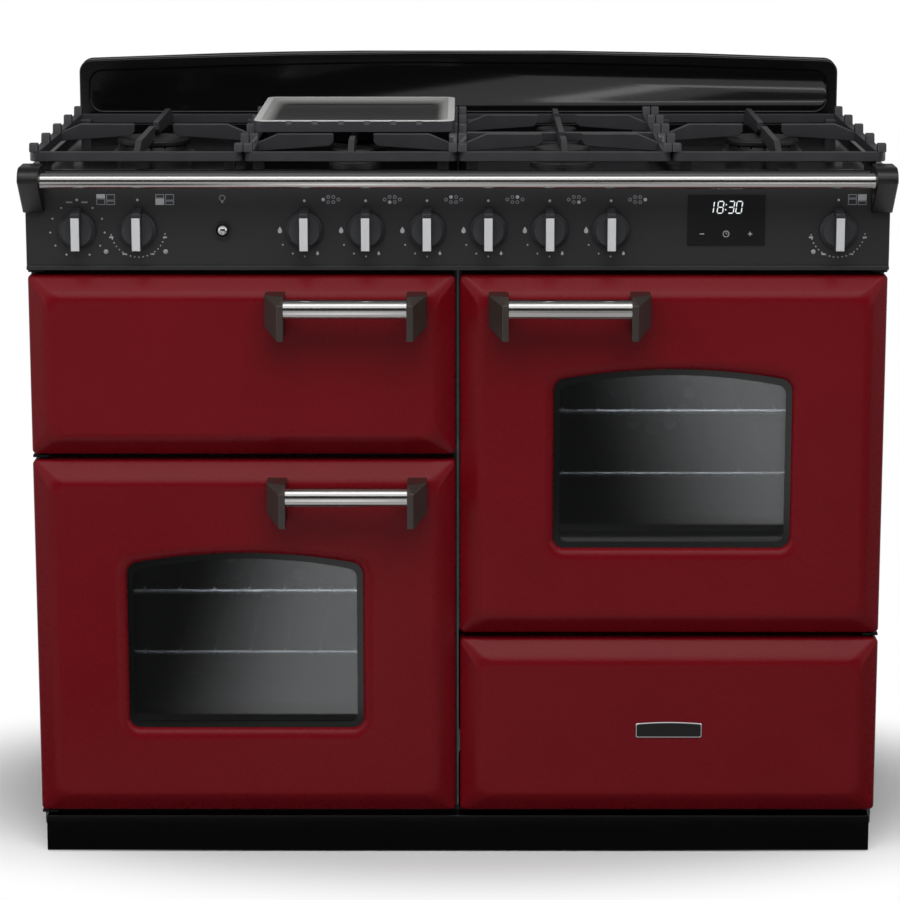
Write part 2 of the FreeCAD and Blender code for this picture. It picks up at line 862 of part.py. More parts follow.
def make_burners():
    """Burner bases with a ring of flame slots, and the loose-laid caps on them."""
    bases = []
    caps = []
    for x, y, radius in burners():
        base = body("burner_base")
        head = d.burner_head_height
        profile = [
            (0, -d.burner_tube_length),
            (d.burner_tube_radius, -d.burner_tube_length),
            (d.burner_tube_radius, 0),
            (radius + d.burner_flange, 0),
            (radius + d.burner_flange, d.burner_flange),
            (radius, d.burner_flange * 2),
            (radius * 0.92, head),
            (0, head),
        ]
        turned(base, sketch(base, "XZ_Plane", 0, profile))
        slot_z = head - d.burner_flange
        slot = rectangle(about(Size(0), d.burner_slot_width), (radius * 0.75, radius + d.burner_flange))
        slots = pocket(base, sketch(base, "XY_Plane", slot_z, slot), d.burner_flange)
        ring_pattern(base, slots, "Z_Axis", 16)
        bases.append(place(base, x, y, tray_floor))

        cap = body("burner_cap")
        height = d.burner_cap_height
        profile = [
            (0, 0),
            (radius * 0.95, 0),
            (radius * 0.98, height * 0.5),
            (radius * 0.85, height),
            (0, height * 1.15),
        ]
        turned(cap, sketch(cap, "XZ_Plane", 0, profile))
        caps.append(place(cap, x, y, tray_floor + head))
    keep(group("burner_bases", *bases), "burner_bases")
    keep(group("burner_caps", *caps), "burner_caps")


def make_pan_support(label, x, rows):
    """A cast pan support: outer frame, lugs along its sides, feet and fingers."""
    iron = body(label)
    span_x = about(x, d.support_width)
    bar = d.support_bar
    low = d.hob_height + d.support_bar_rise
    deck = low + d.support_bar_height
    top = deck + d.support_lug_height
    inner_x = grown(span_x, -bar)
    inner_y = grown(support_y, -bar)
    frame = sketch(iron, "XY_Plane", low, rounded(span_x, support_y, bar),
                   rectangle(inner_x, inner_y))
    pad(iron, frame, d.support_bar_height)

    length = d.support_lug_length
    step = (support_y[1] - support_y[0] - length) / (LUGS_PER_SIDE - 1)
    lugs = []
    for number in range(LUGS_PER_SIDE):
        middle = support_y[0] + length / 2 + number * step
        lugs.append([(middle - length / 2, deck), (middle + length / 2, deck),
                     (middle + length / 3, top), (middle - length / 3, top)])
    for edge in (span_x[0], span_x[1] - bar):
        pad(iron, sketch(iron, "YZ_Plane", edge, *lugs), bar)

    foot = d.support_foot
    seat = tray_floor + d.lift_fit
    for edge_x in (inner_x[0], inner_x[1] - foot):
        for edge_y in (inner_y[0], inner_y[1] - foot):
            shape = rectangle((edge_x, edge_x + foot), (edge_y, edge_y + foot))
            pad(iron, sketch(iron, "XY_Plane", seat, shape), low + d.support_bar_height / 2 - seat)

    def finger(plane, across, start, end):
        """One tapered finger from the frame to just short of a burner's middle."""
        sign = 1 if end.value > start.value else -1
        ramp = start + sign * d.finger_ramp
        nose = end - sign * d.support_bar / 2
        outline = [(start, low), (nose, deck - bar / 2), (end, deck), (end, top), (ramp, top), (start, deck)]
        if sign < 0:
            outline.reverse()
        pad(iron, sketch(iron, plane, across - d.finger_width / 2, outline), d.finger_width)

    clear = d.finger_clear
    for row_y in rows:
        finger("XZ_Plane", -row_y, inner_x[0], x - clear)
        finger("XZ_Plane", -row_y, inner_x[1], x + clear)
    finger("YZ_Plane", x, inner_y[0], rows[0] - clear)
    finger("YZ_Plane", x, inner_y[1], rows[-1] + clear)
    if len(rows) > 1:
        between_x = rectangle((x - d.finger_width / 2, x + d.finger_width / 2),
                              (rows[0] + clear, rows[1] - clear))
        pad(iron, sketch(iron, "XY_Plane", deck - bar / 2, between_x), top - deck + bar / 2)
        middle = middle_of(rows)
        across = rectangle(inner_x, about(middle, d.finger_width))
        pad(iron, sketch(iron, "XY_Plane", low, across), d.support_bar_height)
    keep(iron, label)


def make_griddle():
    """A cast plate with a raised rim, sloped inside, notched along the front."""
    plate = body("griddle")
    x = support_middles_x[1]
    low = d.hob_height + d.support_bar_rise + d.support_bar_height + d.support_lug_height + d.lift_fit
    top = low + d.griddle_height
    span_x = about(x, d.griddle_width)
    span_y = (face_y + d.griddle_setback, face_y + d.griddle_setback + d.griddle_depth)
    r = d.griddle_radius
    pad(plate, sketch(plate, "XY_Plane", low, rounded(span_x, span_y, r)), d.griddle_height)
    mouth = rounded(grown(span_x, -d.griddle_rim), grown(span_y, -d.griddle_rim), r)
    inset = d.griddle_rim + d.griddle_slope
    floor = rounded(grown(span_x, -inset), grown(span_y, -inset), r)
    upper = sketch(plate, "XY_Plane", top, mouth)
    lower = sketch(plate, "XY_Plane", low + d.griddle_floor, floor)
    loft(plate, lower, upper, "SubtractiveLoft")
    notches = []
    for number in range(GRIDDLE_NOTCHES):
        middle = x + (number - (GRIDDLE_NOTCHES - 1) / 2) * d.griddle_notch_pitch
        notch_y = (span_y[0] - d.griddle_rim, span_y[0] + d.griddle_rim / 2)
        notches.append(rectangle(about(middle, d.griddle_notch), notch_y))
    depth = d.griddle_height / 3
    pocket(plate, sketch(plate, "XY_Plane", top - depth, *notches), depth)
    keep(plate, "griddle")


def make_control_panel():
    """Folded fascia, open at the back, with holes for spindles, button and clock."""
    panel = body("control_panel")
    outer = rectangle((-half, half), (panel_low, body_top))
    pad(panel, sketch(panel, "XZ_Plane", -front_y, outer), front_y - panel_y)
    inner = rectangle((-inner_half, inner_half), (panel_low + d.sheet, body_top - d.sheet))
    pocket(panel, sketch(panel, "XZ_Plane", -front_y, inner), front_y - panel_y - d.sheet)
    lip = rectangle((-half, half), (panel_low, panel_low + d.panel_lip_height))
    pad(panel, sketch(panel, "XZ_Plane", -panel_y, lip), d.panel_lip)
    hole = d.spindle_radius + d.spindle_hole_gap
    holes = [(x, knob_z, hole) for x in burner_knobs_x + oven_knobs_x]
    holes.append((light_x, knob_z, d.bezel_radius - d.spindle_hole_gap))
    clock = grown(clock_span_x, -d.clock_body_inset), grown(clock_span_z, -d.clock_body_inset)
    window = sketch(panel, "XZ_Plane", -(panel_y + d.sheet), rectangle(*clock), *holes)
    pocket(panel, window, d.sheet)
    keep(panel, "control_panel")

    module = body("clock_module")
    plate = rounded(clock_span_x, clock_span_z, d.clock_face)
    pad(module, sketch(module, "XZ_Plane", -panel_y, plate), d.clock_face)
    housing = rectangle(*(grown(span, -d.clock_body_inset) for span in (clock_span_x, clock_span_z)))
    housing_back = panel_y + d.clock_body_depth
    pad(module, sketch(module, "XZ_Plane", -housing_back, housing), d.clock_body_depth)
    keep(module, "clock_module")


clock_span_x = about(half - d.clock_x, d.clock_width)
clock_span_z = about(panel_low + d.clock_rise, d.clock_height)
panel_inside_y = panel_y + d.sheet
KNOBS = {
    "grill_knob": oven_knobs_x[0],
    "left_oven_knob": oven_knobs_x[1],
    "burner_knob_1": burner_knobs_x[0],
    "burner_knob_2": burner_knobs_x[1],
    "burner_knob_3": burner_knobs_x[2],
    "burner_knob_4": burner_knobs_x[3],
    "burner_knob_5": burner_knobs_x[4],
    "burner_knob_6": burner_knobs_x[5],
    "right_oven_knob": oven_knobs_x[2],
}
FACING_FRONT = FreeCAD.Placement(FreeCAD.Vector(), FreeCAD.Rotation(FreeCAD.Vector(1, 0, 0), 90))


def make_knob(label, x):
    """A round skirt with a grip bar whose tip points at the setting, and its spindle."""
    knob = body(label)
    profile = [
        (0, 0),
        (d.knob_radius, 0),
        (d.knob_radius, d.knob_skirt),
        (d.knob_crown_radius, d.knob_height),
        (0, d.knob_height),
    ]
    turned(knob, sketch(knob, "XZ_Plane", 0, profile))
    spindle = sketch(knob, "XY_Plane", -d.spindle_length, (0, 0, d.spindle_radius))
    pad(knob, spindle, d.spindle_length)
    side = d.grip_width / 2
    curve = side * 1.02
    grip = [(side, -d.grip_down + side), (side, d.grip_up - side, curve), (-side, d.grip_up - side),
            (-side, -d.grip_down + side, curve)]
    pad(knob, sketch(knob, "XY_Plane", d.knob_skirt, grip), d.grip_height - d.knob_skirt, d.grip_taper)
    knob.Placement = FACING_FRONT
    keep(place(knob, x, panel_y - d.knob_air, knob_z), label)


def make_button():
    """The domed light button in its bezel."""
    button = body("light_button")
    stem = d.button_radius / 2
    depth = d.switch_depth / 2
    rise = d.button_reach - d.bezel_reach
    dome = (d.button_radius * d.button_radius + rise * rise) / (2 * rise)
    profile = [
        (0, -depth),
        (stem, -depth),
        (stem, -d.button_travel),
        (d.button_radius, -d.button_travel),
        (d.button_radius, d.bezel_reach, dome),
        (0, d.button_reach),
    ]
    turned(button, sketch(button, "XZ_Plane", 0, profile))
    button.Placement = FACING_FRONT
    keep(place(button, light_x, panel_y, knob_z), "light_button")


def make_controls_behind():
    """Oven switches, light switch with its bezel, and the gas rail with six taps."""
    bore = d.spindle_radius + d.running_fit
    depth = d.spindle_length - d.knob_air
    switches = []
    for x in oven_knobs_x:
        block = box("oven_switch_block", about(x, d.switch_size),
                    (panel_inside_y, panel_inside_y + d.switch_depth), about(knob_z, d.switch_size))
        hole = rod("oven_switch_bore", "y", (x, panel_inside_y, knob_z), bore, depth)
        switches.append(cut("oven_switch", block, hole))
    light = body("light_switch")
    room = d.button_radius + d.lift_fit
    stem_room = d.button_radius / 2 + d.lift_fit
    well = d.button_travel * 2 + d.lift_fit
    collar = d.bezel_radius - d.spindle_hole_gap - d.running_fit
    profile = [
        (stem_room, -d.switch_depth),
        (d.bezel_radius * 1.5, -d.switch_depth),
        (d.bezel_radius * 1.5, -d.sheet),
        (collar, -d.sheet),
        (collar, 0),
        (d.bezel_radius, 0),
        (d.bezel_radius, d.bezel_reach),
        (room, d.bezel_reach),
        (room, -well),
        (stem_room, -well),
    ]
    turned(light, sketch(light, "XZ_Plane", 0, profile))
    light.Placement = FACING_FRONT
    switches.append(place(light, light_x, panel_y, knob_z))
    keep(group("oven_switches", *switches), "oven_switches")

    rail_y = panel_y + d.gas_rail_setback
    first = burner_knobs_x[0] - d.tap_radius
    end = d.gas_inlet_x
    solids = [rod("gas_manifold", "x", (first, rail_y, knob_z), d.gas_rail_radius, end - first)]
    socket_y = back_y - d.gas_inlet_length
    supply_y = rail_y - d.gas_supply_radius
    solids.append(rod("gas_supply", "y", (end, supply_y, knob_z), d.gas_supply_radius, socket_y - supply_y))
    solids.append(rod("gas_inlet", "y", (end, socket_y, knob_z), d.gas_inlet_radius, d.gas_inlet_length))
    mouth = (end, back_y - d.gas_bore_depth, knob_z)
    bores = [rod("gas_inlet_bore", "y", mouth, d.gas_inlet_bore, d.gas_bore_depth)]
    for x in burner_knobs_x:
        solids.append(rod("gas_tap", "y", (x, panel_inside_y, knob_z), d.tap_radius, rail_y - panel_inside_y))
        bores.append(rod("gas_tap_bore", "y", (x, panel_inside_y, knob_z), bore, depth))
    keep(cut("gas_rail", fuse("gas_rail_solid", *solids), *bores), "gas_rail")


rail_y = panel_y - d.rail_reach
rail_z = d.hob_height - d.rail_drop
bracket_inner_x = half + d.rail_bracket_overhang - d.rail_bracket_width


def make_front_rail():
    """The tube rail along the front and the moulded bracket at each end."""
    tube = body("front_rail")
    reach = bracket_inner_x + d.rail_socket
    ring = sketch(tube, "YZ_Plane", -reach, (rail_y, rail_z, d.rail_radius),
                  (rail_y, rail_z, d.rail_radius - d.rail_wall))
    pad(tube, ring, 2 * reach)
    keep(tube, "front_rail")

    brackets = []
    nose = d.rail_bracket_radius
    for side in (-1, 1):
        bracket = body("rail_bracket")
        low = rail_z - d.rail_bracket_tail
        outline = [
            (panel_y - d.rail_bracket_toe, low),
            (panel_y, low),
            (panel_y, rail_z + nose),
            (rail_y, rail_z + nose, nose),
            (rail_y - nose, rail_z),
        ]
        start = bracket_inner_x if side > 0 else -bracket_inner_x - d.rail_bracket_width
        pad(bracket, sketch(bracket, "YZ_Plane", start, outline), d.rail_bracket_width)
        hole = d.rail_radius + d.running_fit
        mouth = bracket_inner_x if side > 0 else -bracket_inner_x - d.rail_socket
        pocket(bracket, sketch(bracket, "YZ_Plane", mouth, (rail_y, rail_z, hole)), d.rail_socket)
        brackets.append(bracket)
    keep(group("rail_brackets", *brackets), "rail_brackets")


def door_window(door_x, door_z):
    span_x = about(middle_of(door_x), d.window_width)
    low = door_z[0] + d.window_low
    return span_x, (low, low + d.window_height)


def window_outline(window, margin):
    return arched(grown(window[0], margin), grown(window[1], margin), d.window_rise, d.window_radius + margin)


def make_skin(label, x, z, window=None, hinge_x=None):
    """The pressed enamel front of a door: a shallow pillow with a skirt, hollow behind."""
    skin = body(label)
    rim_r = d.door_rim_radius
    skirt = d.door_depth - d.door_bulge
    pad(skin, sketch(skin, "XZ_Plane", -door_back_y, rounded(x, z, rim_r)), skirt)
    face = rounded(grown(x, -d.door_bevel), grown(z, -d.door_bevel), d.door_face_radius)
    rim = sketch(skin, "XZ_Plane", -rim_y, rounded(x, z, rim_r))
    loft(skin, rim, sketch(skin, "XZ_Plane", -face_y, face))
    level = face_y.value

    def face_edge(edge):
        return abs(edge.BoundBox.YMin - level) < 1e-6 and abs(edge.BoundBox.YMax - level) < 1e-6

    round_edges(skin, d.door_face_round, face_edge)
    wall = d.skin
    inside_x = grown(x, -wall)
    inside_z = grown(z, -wall)
    pocket(skin, sketch(skin, "XZ_Plane", -door_back_y, rounded(inside_x, inside_z, rim_r - wall)), skirt)
    inner_rim = sketch(skin, "XZ_Plane", -rim_y, rounded(inside_x, inside_z, rim_r - wall))
    inset = d.door_bevel + wall
    inner_face = rounded(grown(x, -inset), grown(z, -inset), d.door_face_radius)
    loft(skin, inner_rim, sketch(skin, "XZ_Plane", -(face_y + wall), inner_face), "SubtractiveLoft")
    if window:
        seat_y = face_y + d.window_recess
        frame = window_outline(window, d.window_roll + wall)
        pad(skin, sketch(skin, "XZ_Plane", -seat_y, frame), d.window_recess - wall / 2)
        mouth = sketch(skin, "XZ_Plane", -face_y, window_outline(window, d.window_roll))
        throat = sketch(skin, "XZ_Plane", -seat_y, window_outline(window, Size(0)))
        loft(skin, throat, mouth, "SubtractiveLoft")
    if hinge_x is not None:
        bore = d.hinge_pin_radius + d.running_fit
        height = z[1] - z[0]
        pocket(skin, sketch(skin, "XY_Plane", z[0], (hinge_x, hinge_y, bore)), height)
    keep(skin, label)


def make_liner(label, x, z, window=None):
    """The flat inner side of a door, tucked inside the skin's skirt."""
    liner = body(label)
    inside_x = grown(x, -d.skin)
    inside_z = grown(z, -d.skin)
    r = d.door_rim_radius - d.skin
    pad(liner, sketch(liner, "XZ_Plane", -door_back_y, rounded(inside_x, inside_z, r)), d.liner_lip)
    hollow = rectangle(grown(inside_x, -d.sheet - r), grown(inside_z, -d.sheet - r))
    pocket(liner, sketch(liner, "XZ_Plane", -(door_back_y - d.sheet), hollow), d.liner_lip)
    if window:
        opening = rounded(window[0], window[1], d.window_radius)
        pocket(liner, sketch(liner, "XZ_Plane", -door_back_y, opening), d.sheet)
    keep(liner, label)


def make_glass(label, window):
    """Outer pane behind the pressed window, and an inner pane on the liner."""
    outer = body("outer_pane")
    seat_y = face_y + d.window_recess
    pane = [grown(span, d.glass_overlap) for span in window]
    pad(outer, sketch(outer, "XZ_Plane", -(seat_y + d.glass), rectangle(*pane)), d.glass)
    inner = body("inner_pane")
    inner_y = door_back_y - d.sheet
    pad(inner, sketch(inner, "XZ_Plane", -inner_y, rectangle(*pane)), d.glass)
    keep(group(label, outer, inner), label)


def make_handle(prefix, side, door_top):
    """A polished bar between two faceted moulded ends; side says which half of the cooker."""
    bar_z = door_top - d.handle_drop
    bar_y = face_y - d.handle_reach + d.handle_bar_radius
    near = d.handle_inner_x
    far = near + d.handle_length
    ends_x = [(near, near + d.handle_end_width), (far - d.handle_end_width, far)]
    if side < 0:
        ends_x = [(-span[1], -span[0]) for span in ends_x]
        ends_x.reverse()
    start = ends_x[0][1]
    bar = rod(f"{prefix}_handle_bar", "x", (start, bar_y, bar_z), d.handle_bar_radius, ends_x[1][0] - start)
    keep(bar, f"{prefix}_handle_bar")
    ends = []
    for number, span in enumerate(ends_x):
        ends.append(make_handle_end(span, bar_z, number == 0))
    keep(group(f"{prefix}_handle_ends", *ends), f"{prefix}_handle_ends")


def make_handle_end(x, bar_z, left):
    """One end: a post that leans out to the bar, pointed below, with facets at the front."""
    end = body("handle_end")
    top = bar_z + d.handle_end_above
    low = bar_z - d.handle_end_below
    facet = d.handle_end_facet
    waist = bar_z - d.handle_end_above
    outer, inner = (x[0], x[1]) if left else (x[1], x[0])
    turn = 1 if left else -1
    outline = [
        (outer, waist),
        (outer + turn * facet, low),
        (inner - turn * facet, low),
        (inner, waist),
        (inner, top),
        (outer + turn * facet, top),
        (outer, top - facet),
    ]
    if not left:
        outline.reverse()
    pad(end, sketch(end, "XZ_Plane", -face_y, outline), d.handle_reach)
    front = (face_y - d.handle_reach).value

    def front_edge(edge):
        return abs(edge.BoundBox.YMin - front) < 1e-6 and abs(edge.BoundBox.YMax - front) < 1e-6

    round_edges(end, d.handle_end_facet / 2, front_edge, "Chamfer")
    return end


def make_hinges():
    """Five hinge plates on the oven fronts, with a pin into each door that they carry."""
    length = d.hinge_pin_length
    plate_gap = (d.row_gap - d.hinge_plate) / 2
    plates = [
        (-1, left_oven_z[0] - plate_gap - d.hinge_plate, True, False),
        (-1, left_oven_z[1] + plate_gap, True, True),
        (-1, doors_top + plate_gap, False, True),
        (1, right_oven_z[0] - plate_gap - d.hinge_plate, True, False),
        (1, doors_top + plate_gap, False, True),
    ]
    hinges = []
    for side, low, up, down in plates:
        x = side * (half - d.hinge_inset)
        high = low + d.hinge_plate
        width = about(x, d.hinge_plate_width - d.hinge_pin_radius)
        plate = box("hinge_plate", width, (hinge_y - d.hinge_pin_radius * 2, front_y), (low, high))
        start = low - length if down else low
        reach = (high + length if up else high) - start
        pin = rod("hinge_pin", "z", (x, hinge_y, start), d.hinge_pin_radius, reach)
        hinges.append(fuse("door_hinge", plate, pin))
    keep(group("door_hinges", *hinges), "door_hinges")


def make_doors():
    hinge_left = -half + d.hinge_inset
    hinge_right = half - d.hinge_inset
    for prefix, x, z, hinge_x, side in (
        ("left_oven", left_door_x, left_oven_z, hinge_left, -1),
        ("right_oven", right_door_x, right_oven_z, hinge_right, 1),
    ):
        window = door_window(x, z)
        make_skin(f"{prefix}_door_panel", x, z, window, hinge_x)
        make_liner(f"{prefix}_door_liner", x, z, window)
        make_glass(f"{prefix}_door_glass", window)
        make_handle(prefix, side, z[1])
    make_skin("grill_door_panel", left_door_x, grill_z, None, hinge_left)
    make_liner("grill_door_liner", left_door_x, grill_z)
    make_handle("grill", -1, grill_z[1])
    make_skin("drawer_front", right_door_x, drawer_z)
    make_hinges()


def make_drawer():
    """Open storage drawer with a rail on each side, and the channels it runs in."""
    gap = d.drawer_side_gap
    outer_x = (divider_half + gap, inner_half - gap)
    low = drawer_z[0] + d.drawer_lift
    span_z = (low, low + d.drawer_box_height)
    wall = d.drawer_wall
    rear = door_back_y + d.drawer_length
    tray = body("drawer_tray")
    pad(tray, sketch(tray, "XY_Plane", low, rectangle(outer_x, (door_back_y, rear))), d.drawer_box_height)
    hollow = rectangle(grown(outer_x, -wall), (door_back_y + wall, rear - wall))
    pocket(tray, sketch(tray, "XY_Plane", low + wall, hollow), d.drawer_box_height)
    middle = low + d.runner_rise
    fit = d.lift_fit
    rail_z_span = about(middle, d.runner_height - 2 * d.runner_wall - 2 * fit)
    inner_reach = gap - d.runner_wall - fit
    runner_y = (front_y + d.sheet, rear)
    rails = [
        box("drawer_rail", (outer_x[0] - inner_reach, outer_x[0]), (front_y + d.sheet, rear), rail_z_span),
        box("drawer_rail", (outer_x[1], outer_x[1] + inner_reach), (front_y + d.sheet, rear), rail_z_span),
    ]
    inner_front = box("drawer_inner_front", grown(right_door_x, -d.skin),
                      (door_back_y - d.sheet, door_back_y), grown(drawer_z, -d.door_rim_radius))
    keep(fuse("drawer_box", tray, inner_front, *rails), "drawer_box")

    runners = []
    channel_z = about(middle, d.runner_height)
    slot_z = grown(channel_z, -d.runner_wall)
    for x, slot_x in (
        ((divider_half, divider_half + d.runner_width),
         (divider_half + d.runner_wall, divider_half + d.runner_width + 1)),
        ((inner_half - d.runner_width, inner_half),
         (inner_half - d.runner_width - 1, inner_half - d.runner_wall)),
    ):
        channel = box("runner_channel", x, runner_y, channel_z)
        runners.append(cut("drawer_runner", channel, box("runner_slot", slot_x, runner_y, slot_z)))
    keep(group("drawer_runners", *runners), "drawer_runners")


make_base()
make_casing()
make_ovens()
make_racks()
make_grill()
make_hob()
make_burners()
for number, row in enumerate(SUPPORT_ROWS):
    make_pan_support(f"pan_support_{number + 1}", support_middles_x[number], burner_rows[row])
make_griddle()
make_control_panel()
for label, knob_x in KNOBS.items():
    make_knob(label, knob_x)
make_button()
make_controls_behind()
make_front_rail()
make_doors()
make_drawer()
doc.recompute()

faults = [item.Name for item in doc.Objects if "Invalid" in item.State or "Error" in item.State]
faults += [item.Label for item in nodes if item.Shape.isNull() or not item.Shape.isValid()]
if faults:
    raise RuntimeError(f"failed pieces: {faults}")
os.makedirs("parts", exist_ok=True)
for item in nodes:
    item.Shape.exportStep(f"parts/{item.Label}.step")
    print(item.Label, len(item.Shape.Solids), round(item.Shape.Volume), item.Shape.BoundBox)
print(len(nodes), "nodes")
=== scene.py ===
import math

import bmesh
import bpy
from mathutils import Matrix, Vector


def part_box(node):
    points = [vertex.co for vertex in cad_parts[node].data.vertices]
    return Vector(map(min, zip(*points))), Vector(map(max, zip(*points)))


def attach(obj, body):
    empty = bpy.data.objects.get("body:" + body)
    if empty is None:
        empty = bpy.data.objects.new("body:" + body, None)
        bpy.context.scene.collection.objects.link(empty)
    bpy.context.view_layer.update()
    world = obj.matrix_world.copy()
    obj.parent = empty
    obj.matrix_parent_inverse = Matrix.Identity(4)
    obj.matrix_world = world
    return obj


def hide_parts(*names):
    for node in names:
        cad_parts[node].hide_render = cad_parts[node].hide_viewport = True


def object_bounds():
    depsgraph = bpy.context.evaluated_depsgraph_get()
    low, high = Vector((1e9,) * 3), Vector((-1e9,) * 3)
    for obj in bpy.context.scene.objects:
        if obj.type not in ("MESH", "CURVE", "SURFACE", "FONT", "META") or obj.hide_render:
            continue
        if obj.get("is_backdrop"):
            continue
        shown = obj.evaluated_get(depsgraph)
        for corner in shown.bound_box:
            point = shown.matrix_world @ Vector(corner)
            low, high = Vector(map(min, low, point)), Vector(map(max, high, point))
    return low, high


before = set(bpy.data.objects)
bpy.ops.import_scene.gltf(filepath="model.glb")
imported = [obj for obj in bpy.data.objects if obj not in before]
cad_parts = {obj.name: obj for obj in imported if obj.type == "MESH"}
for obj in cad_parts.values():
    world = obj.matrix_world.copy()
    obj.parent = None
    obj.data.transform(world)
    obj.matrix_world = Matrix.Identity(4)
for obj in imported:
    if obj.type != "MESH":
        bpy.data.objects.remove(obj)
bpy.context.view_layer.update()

# Base pan and levelling feet.
# The pan is folded from galvanised sheet and carries everything else. Each foot is a zinc-plated
# stud with a round pad that screws up into it.


def linear(code):
    """An sRGB hex colour as linear red, green, blue and full alpha."""
    shares = [int(code[place:place + 2], 16) / 255 for place in (1, 3, 5)]
    light = [share / 12.92 if share <= 0.04045 else ((share + 0.055) / 1.055) ** 2.4 for share in shares]
    return (*light, 1.0)


def join(node, inputs):
    """Sets a node's inputs to values, or joins them to other nodes' sockets."""
    for name, value in inputs.items():
        if isinstance(value, bpy.types.NodeSocket):
            node.id_data.links.new(value, node.inputs[name])
        else:
            node.inputs[name].default_value = value


def add(tree, kind, inputs=None, **settings):
    """A node with its settings, and its inputs set to values or joined to other nodes' sockets."""
    node = tree.nodes.new(kind)
    for name, value in settings.items():
        setattr(node, name, value)
    join(node, inputs or {})
    return node


def new_material(name, **inputs):
    """A material with its shader's sockets set; returns it with its tree, shader and Object coordinates."""
    material = bpy.data.materials.new(name)
    material.use_nodes = True
    tree = material.node_tree
    shader = tree.nodes["Principled BSDF"]
    join(shader, {socket.replace("_", " "): value for socket, value in inputs.items()})
    return material, tree, shader, add(tree, "ShaderNodeTexCoord").outputs["Object"]


def dress(material, *nodes):
    """Gives CAD pieces that keep their own shape a finish."""
    for node in nodes:
        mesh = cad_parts[node].data
        mesh.materials.clear()
        mesh.materials.append(material)


# A Mix node has sockets of one name for each kind of value; these are the numbers of its colours.
FROM, TO, MIXED = 6, 7, 2

# Galvanised sheet: cold-rolled steel dipped in zinc. The zinc freezes in flat crystals about 9 mm
# across, each with its own grey and its own gloss.
SPANGLE = 0.009
zinc, tree, shader, place = new_material("galvanised_sheet", Metallic=1.0)
spangle = add(tree, "ShaderNodeTexVoronoi", {"Vector": place, "Scale": 1 / SPANGLE}).outputs["Color"]
grey = add(tree, "ShaderNodeMix", {"Factor": spangle, FROM: linear("#8a8d8f"), TO: linear("#b4b6b7")},
           data_type="RGBA")
dull = add(tree, "ShaderNodeMapRange", {"Value": spangle, "To Min": 0.34, "To Max": 0.52})
join(shader, {"Base Color": grey.outputs[MIXED], "Roughness": dull.outputs["Result"]})
dress(zinc, "base_pan", "levelling_feet")

# Plinth, side panels, back panel and centre divider.
# Pressed steel sheets spot-welded to the base. The plinth and the sides are enamelled black, the
# back and the divider stay galvanised because a wall or the ovens hide them.
FOLD_ROUND = 0.0012
WELD, FLAT, SHARP = 2e-6, math.radians(0.5), math.radians(35)


def make_piece(name, bm, material, body, slot, *stands_for):
    """Turns a bmesh into a finished piece that rides on a body and may stand for CAD pieces."""
    mesh = bpy.data.meshes.new(name)
    bm.to_mesh(mesh)
    bm.free()
    mesh.materials.append(material)
    mesh.polygons.foreach_set("use_smooth", [True] * len(mesh.polygons))
    mesh.set_sharp_from_angle(angle=SHARP)
    piece = bpy.data.objects.new(name, mesh)
    bpy.context.scene.collection.objects.link(piece)
    flat = piece.modifiers.new("flat_faces", "WEIGHTED_NORMAL")
    flat.keep_sharp = True
    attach(piece, body)
    if stands_for:
        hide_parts(*stands_for)
    return piece


def welded(node):
    """A copy of a CAD piece with the corners of its loose triangles merged."""
    bm = bmesh.new()
    bm.from_mesh(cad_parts[node].data)
    bmesh.ops.remove_doubles(bm, verts=bm.verts, dist=WELD)
    return bm


def softened(node, radius, segments=2, crease=40):
    """A copy of a CAD piece as whole faces, with its hard outer edges rounded inside its own box."""
    bm = welded(node)
    bmesh.ops.dissolve_limit(bm, angle_limit=FLAT, verts=bm.verts, edges=bm.edges)
    hard = [edge for edge in bm.edges if edge.is_convex and edge.calc_face_angle() > math.radians(crease)]
    bmesh.ops.bevel(bm, geom=hard, offset=radius, offset_type="OFFSET", segments=segments, profile=0.5,
                    affect="EDGES", clamp_overlap=False, material=-1)
    low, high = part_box(node)
    for vert in bm.verts:
        vert.co = [min(max(vert.co[axis], low[axis]), high[axis]) for axis in range(3)]
    return bm


# Black vitreous enamel: glass frit fired on steel. It is nearly black with a wet gloss, and flows
# into a faint orange peel of about 5 mm.
PEEL = 0.005
gloss_black, tree, shader, place = new_material("black_vitreous_enamel", Base_Color=linear("#070708"),
                                                Specular_IOR_Level=0.4)
flow = add(tree, "ShaderNodeTexNoise", {"Vector": place, "Scale": 1 / PEEL, "Detail": 2.0}).outputs["Fac"]
shine = add(tree, "ShaderNodeMapRange", {"Value": flow, "To Min": 0.10, "To Max": 0.18})
peel = add(tree, "ShaderNodeBump", {"Height": flow, "Strength": 0.12, "Distance": 0.0003})
join(shader, {"Roughness": shine.outputs["Result"], "Normal": peel.outputs["Normal"]})
for node in ("plinth", "left_side_panel", "right_side_panel"):
    make_piece(f"{node}_shell", softened(node, FOLD_ROUND), gloss_black, "cooker", "black_enamel", node)
dress(zinc, "back_panel", "centre_divider")

# Oven and grill cavities, fan covers and grill pan.
# Folded steel boxes, enamelled inside and out and screwed to the front frame; the covers hide the
# fans, and the pan slides in on the grill's floor.

